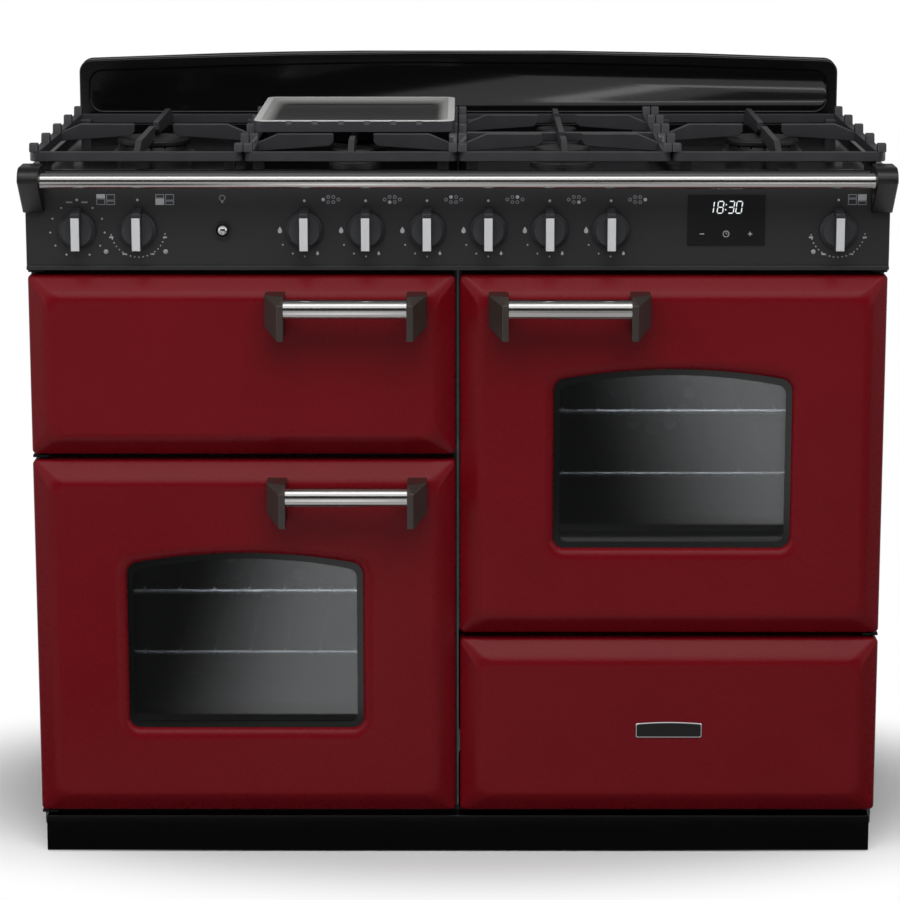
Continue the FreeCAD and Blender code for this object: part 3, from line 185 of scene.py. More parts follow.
# Oven enamel: a dark grey ground coat with paler flecks about 2 mm across, drawn at that size so
# that they still show through the windows.
FLECK = 0.002
oven_enamel, tree, shader, place = new_material("speckled_oven_enamel", Roughness=0.3)
flecks = add(tree, "ShaderNodeTexVoronoi", {"Vector": place, "Scale": 1 / FLECK}).outputs["Distance"]
few = add(tree, "ShaderNodeMapRange", {"Value": flecks, "From Min": 0.16, "From Max": 0.3,
                                       "To Min": 1.0, "To Max": 0.0}).outputs["Result"]
ground = add(tree, "ShaderNodeMix", {"Factor": few, FROM: linear("#202124"), TO: linear("#54575a")},
             data_type="RGBA")
join(shader, {"Base Color": ground.outputs[MIXED]})
dress(oven_enamel, "left_oven_cavity", "right_oven_cavity", "grill_cavity",
      "fan_covers", "grill_pan")

# Shelves and their side ladders.
# Drawn steel wire, welded and chromed; each shelf slides on the ladders hooked to the oven's sides.

# Bright chrome on wire: a thin mirror coat, uneven from the drawing, which is coarsened to 4 mm so
# that it shows. It stays bright for 9 mm at the door, then turns almost black over the next 16 mm:
# painted shade for the dark inside of the oven.
DRAWING, BRIGHT, PAINTED_SHADE_SPAN = 0.004, 0.009, 0.016
chrome_wire, tree, shader, place = new_material("chromed_wire", Metallic=0.5, Specular_IOR_Level=0.2)
shelf_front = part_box("oven_racks")[0].y
bright_end = shelf_front + BRIGHT
inward = add(tree, "ShaderNodeSeparateXYZ", {"Vector": place}).outputs["Y"]
# Painted shade: past the bright front the wire's colour runs to almost black, for the oven's dark inside.
painted_oven_shade = add(tree, "ShaderNodeMapRange",
           {"Value": inward, "From Min": bright_end, "From Max": bright_end + PAINTED_SHADE_SPAN}).outputs["Result"]
tone = add(tree, "ShaderNodeMix", {"Factor": painted_oven_shade, FROM: linear("#e4e6e8"), TO: linear("#0a0909")},
           data_type="RGBA")
drawn = add(tree, "ShaderNodeTexNoise", {"Vector": place, "Scale": 1 / DRAWING, "Detail": 3.0})
polish = add(tree, "ShaderNodeMapRange", {"Value": drawn.outputs["Fac"], "To Min": 0.2, "To Max": 0.35})
join(shader, {"Base Color": tone.outputs[MIXED], "Roughness": polish.outputs["Result"]})
dress(chrome_wire, "oven_racks")

# Oven fans, their motors and the grill element.
# Pressed steel fans on the motors' shafts behind the covers, and a sheathed heating wire bent to
# and fro under the grill's roof.

# Heated steel: an oxidised sheath, grey with straw and blue heat tints in patches of about 40 mm.
TINT = 0.04
heated_steel, tree, shader, place = new_material("heat_tinted_steel", Metallic=1.0, Roughness=0.42)
patches = add(tree, "ShaderNodeTexNoise", {"Vector": place, "Scale": 1 / TINT, "Detail": 4.0})
tints = add(tree, "ShaderNodeValToRGB", {"Fac": patches.outputs["Fac"]})
for stop, position, colour in zip(tints.color_ramp.elements, (0.3, 0.7), ("#4c4e57", "#7d7263")):
    stop.position = position
    stop.color = linear(colour)
join(shader, {"Base Color": tints.outputs["Color"]})
dress(heated_steel, "grill_element")
dress(zinc, "left_fan", "right_fan", "fan_motors")

# Gas rail and switches.
# A plated manifold with six taps runs behind the control panel to the inlet socket at the back; the
# switches are moulded blocks that clip to the panel.

# Moulded thermoplastic: off-black, with a spark-eroded grain of about 0.8 mm.
GRAIN = 0.0008
switch_plastic, tree, shader, place = new_material("moulded_black_thermoplastic",
                                                   Base_Color=linear("#17181a"), Roughness=0.42)
grain = add(tree, "ShaderNodeTexNoise", {"Vector": place, "Scale": 1 / GRAIN, "Detail": 2.0})
eroded = add(tree, "ShaderNodeBump", {"Height": grain.outputs["Fac"], "Strength": 0.2, "Distance": 0.0001})
join(shader, {"Normal": eroded.outputs["Normal"]})
dress(zinc, "gas_rail")
dress(switch_plastic, "oven_switches")

# Hob tray and upstand.
# One deep pressing of enamelled steel with a rolled front edge, and a pressed splashback with a
# raised border that screws to its back ledge.
UPSTAND_ROUND, PRESSED_STEPS = 0.003, 4
for node, edge in (("hob_tray", FOLD_ROUND), ("upstand", UPSTAND_ROUND)):
    make_piece(f"{node}_pressing", softened(node, edge, PRESSED_STEPS), gloss_black, "cooker",
               "black_enamel", node)

# Burners.
# Each has a die-cast aluminium crown with flame slots, standing in the tray, and a loose black
# enamelled cap that lies on the crown.

# Die-cast aluminium: a bright flange below, and above it a crown whose colour turns dark with height
# over 4 mm, with a fine cast skin of about 1.5 mm.
CAST_SKIN, BASE_HIGH, FLANGE, DARKENING_RISE = 0.0015, 0.015, 0.003, 0.004
flange_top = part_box("burner_bases")[1].z - BASE_HIGH + FLANGE
alloy, tree, shader, place = new_material("die_cast_aluminium", Metallic=0.9)
skin = add(tree, "ShaderNodeTexNoise", {"Vector": place, "Scale": 1 / CAST_SKIN, "Detail": 4.0})
height = add(tree, "ShaderNodeSeparateXYZ", {"Vector": place}).outputs["Z"]
# The crown is coloured darker by height, from the top of the flange up over 4 mm.
darker_with_height = add(tree, "ShaderNodeMapRange",
            {"Value": height, "From Min": flange_top, "From Max": flange_top + DARKENING_RISE}).outputs["Result"]
crown = add(tree, "ShaderNodeMix",
            {"Factor": skin.outputs["Fac"], FROM: linear("#1f1f20"), TO: linear("#323233")}, data_type="RGBA")
tone = add(tree, "ShaderNodeMix", {"Factor": darker_with_height, FROM: linear("#5c5d5e"), TO: crown.outputs[MIXED]},
           data_type="RGBA")
matt = add(tree, "ShaderNodeMapRange", {"Value": skin.outputs["Fac"], "To Min": 0.28, "To Max": 0.5})
join(shader, {"Base Color": tone.outputs[MIXED], "Roughness": matt.outputs["Result"]})
dress(alloy, "burner_bases")

# Matt cap enamel: a dry black enamel with a soot-dull skin of about 5 mm.
cap_black, tree, shader, place = new_material("matt_black_cap_enamel", Base_Color=linear("#0d0d0e"))
soot = add(tree, "ShaderNodeTexNoise", {"Vector": place, "Scale": 1 / PEEL, "Detail": 5.0})
dry = add(tree, "ShaderNodeMapRange", {"Value": soot.outputs["Fac"], "To Min": 0.3, "To Max": 0.55})
join(shader, {"Roughness": dry.outputs["Result"]})

# A cap's top is dished a little inside a rolled edge; these are shares of its radius and its height.
CAP_DISH, DISH_FLOOR, DISH_RIM, EDGE_ROLL = 0.0012, 0.55, 0.72, 0.45
CAP_STEPS, CAP_SIDES = 6, 48
SEAM = 1e-6


def spun(bm, points, axis, centre, steps):
    """Turns an open outline of points a full turn round an axis and closes it into a skin."""
    verts = [bm.verts.new(point) for point in points]
    edges = [bm.edges.new(pair) for pair in zip(verts, verts[1:])]
    bmesh.ops.spin(bm, geom=verts + edges, cent=centre, axis=axis, angle=2 * math.pi, steps=steps,
                   use_merge=True)
    bmesh.ops.remove_doubles(bm, verts=bm.verts, dist=SEAM)
    bmesh.ops.recalc_face_normals(bm, faces=bm.faces)


def islands(node):
    """The lowest and highest corners of each separate solid in a CAD piece."""
    bm = welded(node)
    known = set()
    boxes = []
    for start in bm.verts:
        if start in known:
            continue
        found = fresh = {start}
        while fresh:
            fresh = {edge.other_vert(vert) for vert in fresh for edge in vert.link_edges} - found
            found = found | fresh
        known |= found
        low = Vector(min(vert.co[axis] for vert in found) for axis in range(3))
        high = Vector(max(vert.co[axis] for vert in found) for axis in range(3))
        boxes.append((low, high))
    bm.free()
    return boxes


def quarter_turn(steps):
    """Angles from nothing to a right angle, in even steps."""
    return [math.radians(90 * step / steps) for step in range(steps + 1)]


caps = bmesh.new()
for low, high in islands("burner_caps"):
    middle = (low + high) / 2
    radius = (high.x - low.x) / 2
    roll = (high.z - low.z) * EDGE_ROLL
    profile = [(0, high.z - CAP_DISH), (radius * DISH_FLOOR, high.z - CAP_DISH), (radius * DISH_RIM, high.z)]
    profile += [(radius - roll + roll * math.sin(turn), high.z - roll + roll * math.cos(turn))
                for turn in quarter_turn(CAP_STEPS)]
    profile += [(radius, low.z), (0, low.z)]
    spun(caps, [(middle.x + out, middle.y, up) for out, up in profile], (0, 0, 1), middle, CAP_SIDES)
make_piece("burner_cap_discs", caps, cap_black, "cooker", "black_enamel", "burner_caps")

# Pan supports.
# Four sand-cast iron grids that lie loose on the tray; each lifts straight off for cleaning.
SUPPORT_ROUND, SUPPORT_CREASE = 0.0012, 25

# Cast iron under matt enamel: charcoal, with the sand's grit of about 1.2 mm left in the surface,
# rubbed paler by pans in patches of about 30 mm.
GRIT, RUBBED = 0.0012, 0.03
iron, tree, shader, place = new_material("matt_enamelled_cast_iron", Specular_IOR_Level=0.7)
sand = add(tree, "ShaderNodeTexNoise", {"Vector": place, "Scale": 1 / GRIT, "Detail": 3.0}).outputs["Fac"]
rub = add(tree, "ShaderNodeTexNoise", {"Vector": place, "Scale": 1 / RUBBED, "Detail": 2.0}).outputs["Fac"]
tone = add(tree, "ShaderNodeMix", {"Factor": rub, FROM: linear("#222224"), TO: linear("#303033")},
           data_type="RGBA")
matt = add(tree, "ShaderNodeMapRange", {"Value": sand, "To Min": 0.32, "To Max": 0.46})
cast = add(tree, "ShaderNodeBump", {"Height": sand, "Strength": 0.35, "Distance": 0.0002})
join(shader, {"Base Color": tone.outputs[MIXED], "Roughness": matt.outputs["Result"],
              "Normal": cast.outputs["Normal"]})
for number in range(1, 5):
    node = f"pan_support_{number}"
    grid = softened(node, SUPPORT_ROUND, crease=SUPPORT_CREASE)
    make_piece(f"{node}_grid", grid, iron, node, "support_iron", node)

# Griddle.
# A cast aluminium plate that lies across the second support. Its rim is ground bright; the slopes
# inside carry painted light, lighter towards the rim and darkening into a seasoned floor; and its
# outside keeps a dark non-stick coat.
GRIDDLE_ROUND, RIM_WIDE, RIM_DEEP, FLOOR_DEEP, SLOPE_BRIGHT = 0.0007, 0.008, 0.0012, 0.0085, 0.0025
FACING_UP = 0.2
griddle_low, griddle_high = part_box("griddle")
griddle_top = griddle_high.z

# Non-stick coat: a dry dark grey, with the casting's pits of about 1.2 mm showing through.
griddle_black, tree, shader, place = new_material("non_stick_coating", Roughness=0.45)
pits = add(tree, "ShaderNodeTexNoise", {"Vector": place, "Scale": 1 / GRIT, "Detail": 3.0}).outputs["Fac"]
tone = add(tree, "ShaderNodeMix", {"Factor": pits, FROM: linear("#29292b"), TO: linear("#353538")},
           data_type="RGBA")
join(shader, {"Base Color": tone.outputs[MIXED]})

# Ground aluminium: straight grinding lines across the plate, about 0.8 mm apart so that they show.
GRINDING = 0.0008
ground_alloy, tree, shader, place = new_material("ground_aluminium", Metallic=0.5)
across = add(tree, "ShaderNodeMapping", {"Vector": place, "Scale": (0.04, 1.0, 1.0)}).outputs["Vector"]
lines = add(tree, "ShaderNodeTexNoise",
            {"Vector": across, "Scale": 1 / GRINDING, "Detail": 3.0}).outputs["Fac"]
tone = add(tree, "ShaderNodeMix", {"Factor": lines, FROM: linear("#cfd0ce"), TO: linear("#e6e7e5")},
           data_type="RGBA")
satin = add(tree, "ShaderNodeMapRange", {"Value": lines, "To Min": 0.3, "To Max": 0.45})
join(shader, {"Base Color": tone.outputs[MIXED], "Roughness": satin.outputs["Result"]})

# Seasoned aluminium: blackened by baked oil in blots of about 50 mm; up the slopes it is painted
# light, almost white near the rim, as a painted highlight where the slopes catch the light.
BLOT = 0.05
cooking_face, tree, shader, place = new_material("seasoned_aluminium", Metallic=0.6)
stain = add(tree, "ShaderNodeTexNoise", {"Vector": place, "Scale": 1 / BLOT, "Detail": 4.0}).outputs["Fac"]
seasoned = add(tree, "ShaderNodeMix", {"Factor": stain, FROM: linear("#202023"), TO: linear("#272524")},
               data_type="RGBA").outputs[MIXED]
height = add(tree, "ShaderNodeSeparateXYZ", {"Vector": place}).outputs["Z"]
# Painted highlight: the colour runs from the seasoned floor to near white as the slopes rise to the rim.
painted_slope_light = add(tree, "ShaderNodeMapRange", {"Value": height, "From Min": griddle_top - FLOOR_DEEP,
                                         "From Max": griddle_top - SLOPE_BRIGHT}).outputs["Result"]
tone = add(tree, "ShaderNodeMix", {"Factor": painted_slope_light, FROM: seasoned, TO: linear("#bcbcba")}, data_type="RGBA")
greasy = add(tree, "ShaderNodeMapRange", {"Value": stain, "To Min": 0.28, "To Max": 0.4})
join(shader, {"Base Color": tone.outputs[MIXED], "Roughness": greasy.outputs["Result"]})

plate = softened("griddle", GRIDDLE_ROUND)
for face in plate.faces:
    middle = face.calc_center_median()
    inside = all(griddle_low[axis] + RIM_WIDE < middle[axis] < griddle_high[axis] - RIM_WIDE
                 for axis in range(2))
    if face.normal.z > FACING_UP and griddle_top - middle.z < RIM_DEEP:
        face.material_index = 1
    elif face.normal.z > FACING_UP and inside:
        face.material_index = 2
griddle = make_piece("griddle_plate", plate, griddle_black, "griddle", "griddle_alloy", "griddle")
griddle.data.materials.append(ground_alloy)
griddle.data.materials.append(cooking_face)

# Control panel.
# A folded steel fascia, enamelled satin black, screwed to the front frame under the hob; its marks
# are screen-printed and fired in.

# Satin black enamel: the same frit fired matt, so that it shows grey under soft light.
satin_black, tree, shader, place = new_material("satin_black_enamel", Base_Color=linear("#222223"),
                                                Specular_IOR_Level=0.4)
flow = add(tree, "ShaderNodeTexNoise", {"Vector": place, "Scale": 1 / PEEL, "Detail": 3.0})
sheen = add(tree, "ShaderNodeMapRange", {"Value": flow.outputs["Fac"], "To Min": 0.34, "To Max": 0.44})
join(shader, {"Roughness": sheen.outputs["Result"]})
make_piece("control_panel_fascia", softened("control_panel", FOLD_ROUND), satin_black, "cooker",
           "black_enamel", "control_panel")

# Printed marks, in pale enamel ink.
# An off dot above each knob, flames or a scale round it, a lamp over the light button, and small
# plans that show which burner or oven a knob works.
PANEL_LIP, INK_THICK, DOT_SIDES = 0.003, 0.0001, 20
panel_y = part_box("control_panel")[0].y + PANEL_LIP
gas_knobs = [f"burner_knob_{number}" for number in range(1, 7)]
oven_knobs = ["grill_knob", "left_oven_knob", "right_oven_knob"]


def knob_middle(node):
    """The point on the panel that a knob turns about: its dial is as wide as the knob is."""
    low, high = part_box(node)
    return Vector(((low.x + high.x) / 2, panel_y, low.z + (high.x - low.x) / 2))


def beside(middle, right, up):
    """A point on the panel to the right of and above another, in millimetres."""
    return middle + Vector((right, 0, up)) / 1000


def on_ring(middle, angle, radius):
    """A point round a knob, at an angle clockwise from its top and a radius in millimetres."""
    turn = math.radians(angle)
    return beside(middle, radius * math.sin(turn), radius * math.cos(turn))


def flat_shape(bm, middle, points):
    """A flat mark on the panel from points to the right and up of its middle, in millimetres."""
    return bm.faces.new([bm.verts.new(beside(middle, x, z)) for x, z in points])


def flat_dot(bm, middle, radius, inner=0.0):
    """A printed dot, or a ring where it has an inner radius, in millimetres."""
    turn = Matrix.Translation(middle) @ Matrix.Rotation(math.pi / 2, 4, "X")
    rim = bmesh.ops.create_circle(bm, cap_ends=not inner, segments=DOT_SIDES, radius=radius / 1000,
                                  matrix=turn)
    if inner:
        hole = bmesh.ops.create_circle(bm, segments=DOT_SIDES, radius=inner / 1000, matrix=turn)
        rims = dict.fromkeys(edge for vert in rim["verts"] + hole["verts"] for edge in vert.link_edges)
        bmesh.ops.bridge_loops(bm, edges=list(rims))


def flat_box(bm, middle, wide, high, line=0.0):
    """A printed rectangle, or its outline where it has a line width, in millimetres."""
    right, up = wide / 2, high / 2
    face = flat_shape(bm, middle, [(-right, -up), (right, -up), (right, up), (-right, up)])
    if line:
        face.normal_update()
        bmesh.ops.inset_individual(bm, faces=[face], thickness=line / 1000, use_even_offset=True)
        bmesh.ops.delete(bm, geom=[face], context="FACES_ONLY")


def flame(bm, middle, high):
    """A printed flame: a leaf with its point up."""
    right_side = [(0.22, 0.2), (0.34, -0.1), (0.26, -0.38)]
    left_side = [(-x, z) for x, z in reversed(right_side)]
    shape = [(0, 0.55), *right_side, (0, -0.5), *left_side]
    flat_shape(bm, middle, [(x * high, z * high) for x, z in shape])


def print_marks(name, bm, material):
    """Gives flat marks the thickness of ink and lays them on the panel."""
    made = bmesh.ops.extrude_face_region(bm, geom=bm.faces[:])["geom"]
    front = [item for item in made if isinstance(item, bmesh.types.BMVert)]
    bmesh.ops.translate(bm, vec=(0, -INK_THICK, 0), verts=front)
    bmesh.ops.recalc_face_normals(bm, faces=bm.faces)
    make_piece(name, bm, material, "cooker", "black_enamel")


# Fired ink: a dry off-white that is a little uneven where the mesh of the screen printed thin.
SCREEN = 0.0006


def screen_ink(name, thin, full):
    ink, tree, shader, place = new_material(name, Roughness=0.6)
    mesh_print = add(tree, "ShaderNodeTexNoise", {"Vector": place, "Scale": 1 / SCREEN}).outputs["Fac"]
    tone = add(tree, "ShaderNodeMix", {"Factor": mesh_print, FROM: linear(thin), TO: linear(full)},
               data_type="RGBA")
    join(shader, {"Base Color": tone.outputs[MIXED]})
    return ink


ink = screen_ink("fired_screen_ink", "#777a7d", "#a3a6a8")
faint_ink = screen_ink("thin_screen_ink", "#5c5d64", "#7a7b83")

# Round a gas knob, in millimetres and degrees: off above, full at the left, low at the right below.
GAS_RING, GAS_OFF_UP, GAS_OFF_DOT = 33.5, 37.5, 1.7
FULL_FLAME_LEFT, FULL_FLAME, LOW_FLAME_AT, LOW_FLAME = 31.2, 8.2, 151, 5.2
BETWEEN_AT, BETWEEN_DOT = (180, 207, 236), 1.1

# The plan of the hob, up and to the right of a gas knob, from the left burner to the right one.
PLAN_RIGHT, PLAN_UP = 33.5, 39.0
BURNER_PLAN = [(-9.6, 0), (-3.2, -3.3), (-3.2, 3.3), (3.2, 3.3), (3.2, -3.3), (9.6, 0)]
BURNER_DOT, BURNER_RING, RING_INSIDE = 2.2, 2.3, 1.3
marks = bmesh.new()
faint = bmesh.new()
for number, node in enumerate(gas_knobs):
    middle = knob_middle(node)
    flat_dot(marks, beside(middle, 0, GAS_OFF_UP), GAS_OFF_DOT)
    flame(marks, beside(middle, -FULL_FLAME_LEFT, 0), FULL_FLAME)
    flame(marks, on_ring(middle, LOW_FLAME_AT, GAS_RING), LOW_FLAME)
    for angle in BETWEEN_AT:
        flat_dot(marks, on_ring(middle, angle, GAS_RING), BETWEEN_DOT)
    for place_number, (x, z) in enumerate(BURNER_PLAN):
        spot = beside(middle, PLAN_RIGHT + x, PLAN_UP + z)
        if place_number == number:
            flat_dot(marks, spot, BURNER_DOT)
        else:
            flat_dot(faint, spot, BURNER_RING, RING_INSIDE)

# The plan of the front beside an oven knob: each bay's middle, foot and top, in millimetres.
FRONT_PLAN = {"grill_knob": (-6.2, 1.4, 7.0), "left_oven_knob": (-6.2, -7.0, 1.4),
              "right_oven_knob": (6.2, -1.4, 7.0), "drawer": (6.2, -7.0, -1.4)}
FRONT_PLAN_RIGHT = {"grill_knob": 36.5, "left_oven_knob": 34.5, "right_oven_knob": 23.5}
BAY_WIDE, BAY_GAP, BAY_LINE = 11.0, 0.4, 1.0

# The dots of the scales, and short bars where a scale has figures.
OVEN_RING, OVEN_OFF_UP, OVEN_OFF_DOT = 34.5, 38.5, 1.6
GRILL_SCALE, GRILL_DOT = (*range(35, 170, 30), *range(205, 340, 30)), 1.2
GRILL_BAR_RIGHT, GRILL_BAR_UP, GRILL_BAR_WIDE = 9.6, 35.5, 8.0
OVEN_SCALE, OVEN_DOT = range(98, 263, 9), 0.9
FIGURES_AT, FIGURE_RING, FIGURE_WIDE, BAR_HIGH = (105, 150, 210, 255), 35.2, 5.0, 2.0
for node in oven_knobs:
    middle = knob_middle(node)
    flat_dot(marks, beside(middle, 0, OVEN_OFF_UP), OVEN_OFF_DOT)
    for bay, (x, foot, top) in FRONT_PLAN.items():
        cell = beside(middle, FRONT_PLAN_RIGHT[node] + x, PLAN_UP + (foot + top) / 2)
        if bay == node:
            flat_box(marks, cell, BAY_WIDE, top - foot - BAY_GAP)
        else:
            flat_box(faint, cell, BAY_WIDE, top - foot - BAY_GAP, BAY_LINE)
    if node == "grill_knob":
        for angle in GRILL_SCALE:
            flat_dot(marks, on_ring(middle, angle, OVEN_RING), GRILL_DOT)
        for x in (-GRILL_BAR_RIGHT, GRILL_BAR_RIGHT):
            flat_box(faint, beside(middle, x, GRILL_BAR_UP), GRILL_BAR_WIDE, BAR_HIGH)
    else:
        for angle in OVEN_SCALE:
            flat_dot(marks, on_ring(middle, angle, OVEN_RING), OVEN_DOT)
        for angle in FIGURES_AT:
            flat_box(marks, on_ring(middle, angle, FIGURE_RING), FIGURE_WIDE, BAR_HIGH)

# The lamp over the light button: a ring for the bulb and a box for its socket.
BULB_UP, BULB_RING, BULB_INSIDE = 41.0, 3.9, 3.0
SOCKET_DOWN, SOCKET_WIDE, SOCKET_HIGH = 5.2, 2.6, 2.2
button_low, button_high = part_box("light_button")
button_middle = (button_low + button_high) / 2
bulb = beside(Vector((button_middle.x, panel_y, button_middle.z)), 0, BULB_UP)
flat_dot(faint, bulb, BULB_RING, BULB_INSIDE)
flat_box(faint, beside(bulb, 0, -SOCKET_DOWN), SOCKET_WIDE, SOCKET_HIGH)
print_marks("panel_marks", marks, ink)
print_marks("panel_plan_lines", faint, faint_ink)

# Neon lamps.
# A small milky lens snapped into the panel below each oven knob; it glows while the oven heats.
LENS_RADIUS, LENS_RISE, LENS_SUNK, LENS_STEPS, LENS_SIDES = 0.0031, 0.0016, 0.0005, 6, 24
LENS_RIGHT = {"grill_knob": 35.5, "left_oven_knob": 34.5, "right_oven_knob": -30.5}
LENS_DOWN = 27.5

# Milky polycarbonate: a pale grey, clouded in wisps of about 3 mm.
CLOUD = 0.003
milky, tree, shader, place = new_material("milky_polycarbonate", Roughness=0.3)
cloud = add(tree, "ShaderNodeTexNoise", {"Vector": place, "Scale": 1 / CLOUD}).outputs["Fac"]
tone = add(tree, "ShaderNodeMix", {"Factor": cloud, FROM: linear("#6f6f6d"), TO: linear("#8d8d8b")},
           data_type="RGBA")
join(shader, {"Base Color": tone.outputs[MIXED]})
lenses = bmesh.new()
for node, right in LENS_RIGHT.items():
    middle = beside(knob_middle(node), right, -LENS_DOWN)
    profile = [(LENS_RADIUS * math.sin(turn), LENS_RISE * math.cos(turn))
               for turn in quarter_turn(LENS_STEPS)]
    profile += [(LENS_RADIUS, -LENS_SUNK), (0, -LENS_SUNK)]
    spun(lenses, [middle + Vector((out, -rise, 0)) for out, rise in profile], (0, 1, 0), middle, LENS_SIDES)
make_piece("panel_neon_lenses", lenses, milky, "cooker", "switch_plastic")

# Clock.
# A black glass plate glued over the timer's housing; the display's bars glow white behind it, and
# the three marks below it are touch keys.
PLATE_ROUND = 0.0006

# Clock glass: black, with a soft sheen and a slow drift of tone of about 20 mm.
GLASS_DRIFT = 0.02
clock_glass, tree, shader, place = new_material("black_clock_glass", Roughness=0.2, Specular_IOR_Level=0.3)
depths = add(tree, "ShaderNodeTexNoise", {"Vector": place, "Scale": 1 / GLASS_DRIFT}).outputs["Fac"]
smoke = add(tree, "ShaderNodeMix", {"Factor": depths, FROM: linear("#0a0a0b"), TO: linear("#101012")},
            data_type="RGBA")
join(shader, {"Base Color": smoke.outputs[MIXED]})
make_piece("clock_glass_plate", softened("clock_module", PLATE_ROUND), clock_glass, "cooker",
           "clock_glass", "clock_module")

# The display, in millimetres: seven bars to a figure, pointed at both ends and leaning to the right.
clock_low, clock_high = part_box("clock_module")
clock_middle = Vector(((clock_low.x + clock_high.x) / 2, clock_low.y, (clock_low.z + clock_high.z) / 2))
DISPLAY_RIGHT, DISPLAY_UP = 1.0, 16.5
DIGIT_WIDE, DIGIT_HIGH, BAR, BAR_SHORT, SLANT = 7.0, 15.0, 1.4, 0.35, 0.12
BARS_LIT = {"1": "bc", "8": "abcdefg", "3": "abcdg", "0": "abcdef"}
DIGITS_AT = {"1": -20.5, "8": -8.5, "3": 5.0, "0": 15.0}
COLON_RIGHT, COLON_UP, COLON_WIDE, COLON_HIGH = -1.6, 3.2, 1.5, 1.8
display_middle = beside(clock_middle, DISPLAY_RIGHT, DISPLAY_UP)


def slanted(x, z):
    """A point of an upright figure as it leans."""
    return x + z * SLANT, z


digits = bmesh.new()
half_wide, half_high = DIGIT_WIDE / 2, DIGIT_HIGH / 2
bars = {"a": (0, half_high, True), "g": (0, 0, True), "d": (0, -half_high, True),
        "b": (half_wide, half_high / 2, False), "c": (half_wide, -half_high / 2, False),
        "f": (-half_wide, half_high / 2, False), "e": (-half_wide, -half_high / 2, False)}
for digit, shift in DIGITS_AT.items():
    for letter in BARS_LIT[digit]:
        x, z, lying = bars[letter]
        length = (half_wide if lying else half_high / 2) - BAR * BAR_SHORT
        corners = [(-length, 0), (-length + BAR / 2, -BAR / 2), (length - BAR / 2, -BAR / 2),
                   (length, 0), (length - BAR / 2, BAR / 2), (-length + BAR / 2, BAR / 2)]
        if not lying:
            corners = [(-up, along) for along, up in corners]
        flat_shape(digits, display_middle, [slanted(x + dx + shift, z + dz) for dx, dz in corners])
for z in (COLON_UP, -COLON_UP):
    flat_box(digits, beside(display_middle, *slanted(COLON_RIGHT, z)), COLON_WIDE, COLON_HIGH)

# Display glow: a cool white that lights itself, uneven over about 2 mm.
FLICKER = 0.002
glow, tree, shader, place = new_material("display_glow", Base_Color=linear("#d8dde0"), Roughness=0.5,
                                         Emission_Strength=0.55)
flicker = add(tree, "ShaderNodeTexNoise", {"Vector": place, "Scale": 1 / FLICKER}).outputs["Fac"]
lit = add(tree, "ShaderNodeMix", {"Factor": flicker, FROM: linear("#c9ced2"), TO: linear("#f0f3f5")},
          data_type="RGBA")
join(shader, {"Emission Color": lit.outputs[MIXED]})
print_marks("clock_digits", digits, glow)

# The touch keys, in millimetres: a minus, a clock face with two hands and a plus.
KEY_DOWN, KEY_PITCH, SIGN_LONG, SIGN_LINE = 17.5, 30.4, 5.6, 1.1
FACE_RING, FACE_INSIDE, HAND_LINE, MINUTE_HAND, HOUR_HAND = 4.2, 3.3, 0.7, 2.4, 2.0
MINUTE_UP, HOUR_RIGHT = 1.1, 0.9
keys = bmesh.new()
face_key = beside(clock_middle, 0, -KEY_DOWN)
arm, line = SIGN_LONG / 2, SIGN_LINE / 2
plus = [(-arm, -line), (-line, -line), (-line, -arm), (line, -arm), (line, -line), (arm, -line),
        (arm, line), (line, line), (line, arm), (-line, arm), (-line, line), (-arm, line)]
flat_box(keys, beside(face_key, -KEY_PITCH, 0), SIGN_LONG, SIGN_LINE)
flat_shape(keys, beside(face_key, KEY_PITCH, 0), plus)
flat_dot(keys, face_key, FACE_RING, FACE_INSIDE)
flat_box(keys, beside(face_key, 0, MINUTE_UP), HAND_LINE, MINUTE_HAND)
flat_box(keys, beside(face_key, HOUR_RIGHT, 0), HOUR_HAND, HAND_LINE)
print_marks("clock_keys", keys, ink)

# Knobs.
# A moulded dial with a bar grip across it and a brushed aluminium strip let into the grip's front;
# each pushes on to the flat of its spindle.
DIAL_BACK, DIAL_SHOULDER, DIAL_CROWN, DIAL_SIDES = 0.001, 0.0116, 0.0118, 64
GRIP_WIDE, GRIP_FALL, GRIP_BACK, GRIP_ROUND = 0.012, 0.006, 0.004, 0.0016
STRIP_WIDE, STRIP_LONG, STRIP_UP = 0.0104, 0.0415, 0.0012
STRIP_PROUD, STRIP_SUNK, STRIP_ROUND = 0.0005, 0.001, 0.0004

# A dial's skirt and step, in millimetres in from its rim and out from its back.
DIAL_SKIRT = [(0, 0), (0, 3.5), (0.5, 4.5), (2.1, 6.5), (3.5, 8.0), (4.7, 10.2), (7.0, 11.0)]

# Knob plastic: moulded charcoal thermoplastic, softly shiny over a fine spark-eroded grain.
knob_plastic, tree, shader, place = new_material("moulded_knob_plastic", Base_Color=linear("#2a2a2d"),
                                                 Specular_IOR_Level=0.4)
grain = add(tree, "ShaderNodeTexNoise", {"Vector": place, "Scale": 1 / GRAIN, "Detail": 2.0})
worn = add(tree, "ShaderNodeMapRange", {"Value": grain.outputs["Fac"], "To Min": 0.3, "To Max": 0.4})
eroded = add(tree, "ShaderNodeBump", {"Height": grain.outputs["Fac"], "Strength": 0.08, "Distance": 0.0001})
join(shader, {"Roughness": worn.outputs["Result"], "Normal": eroded.outputs["Normal"]})

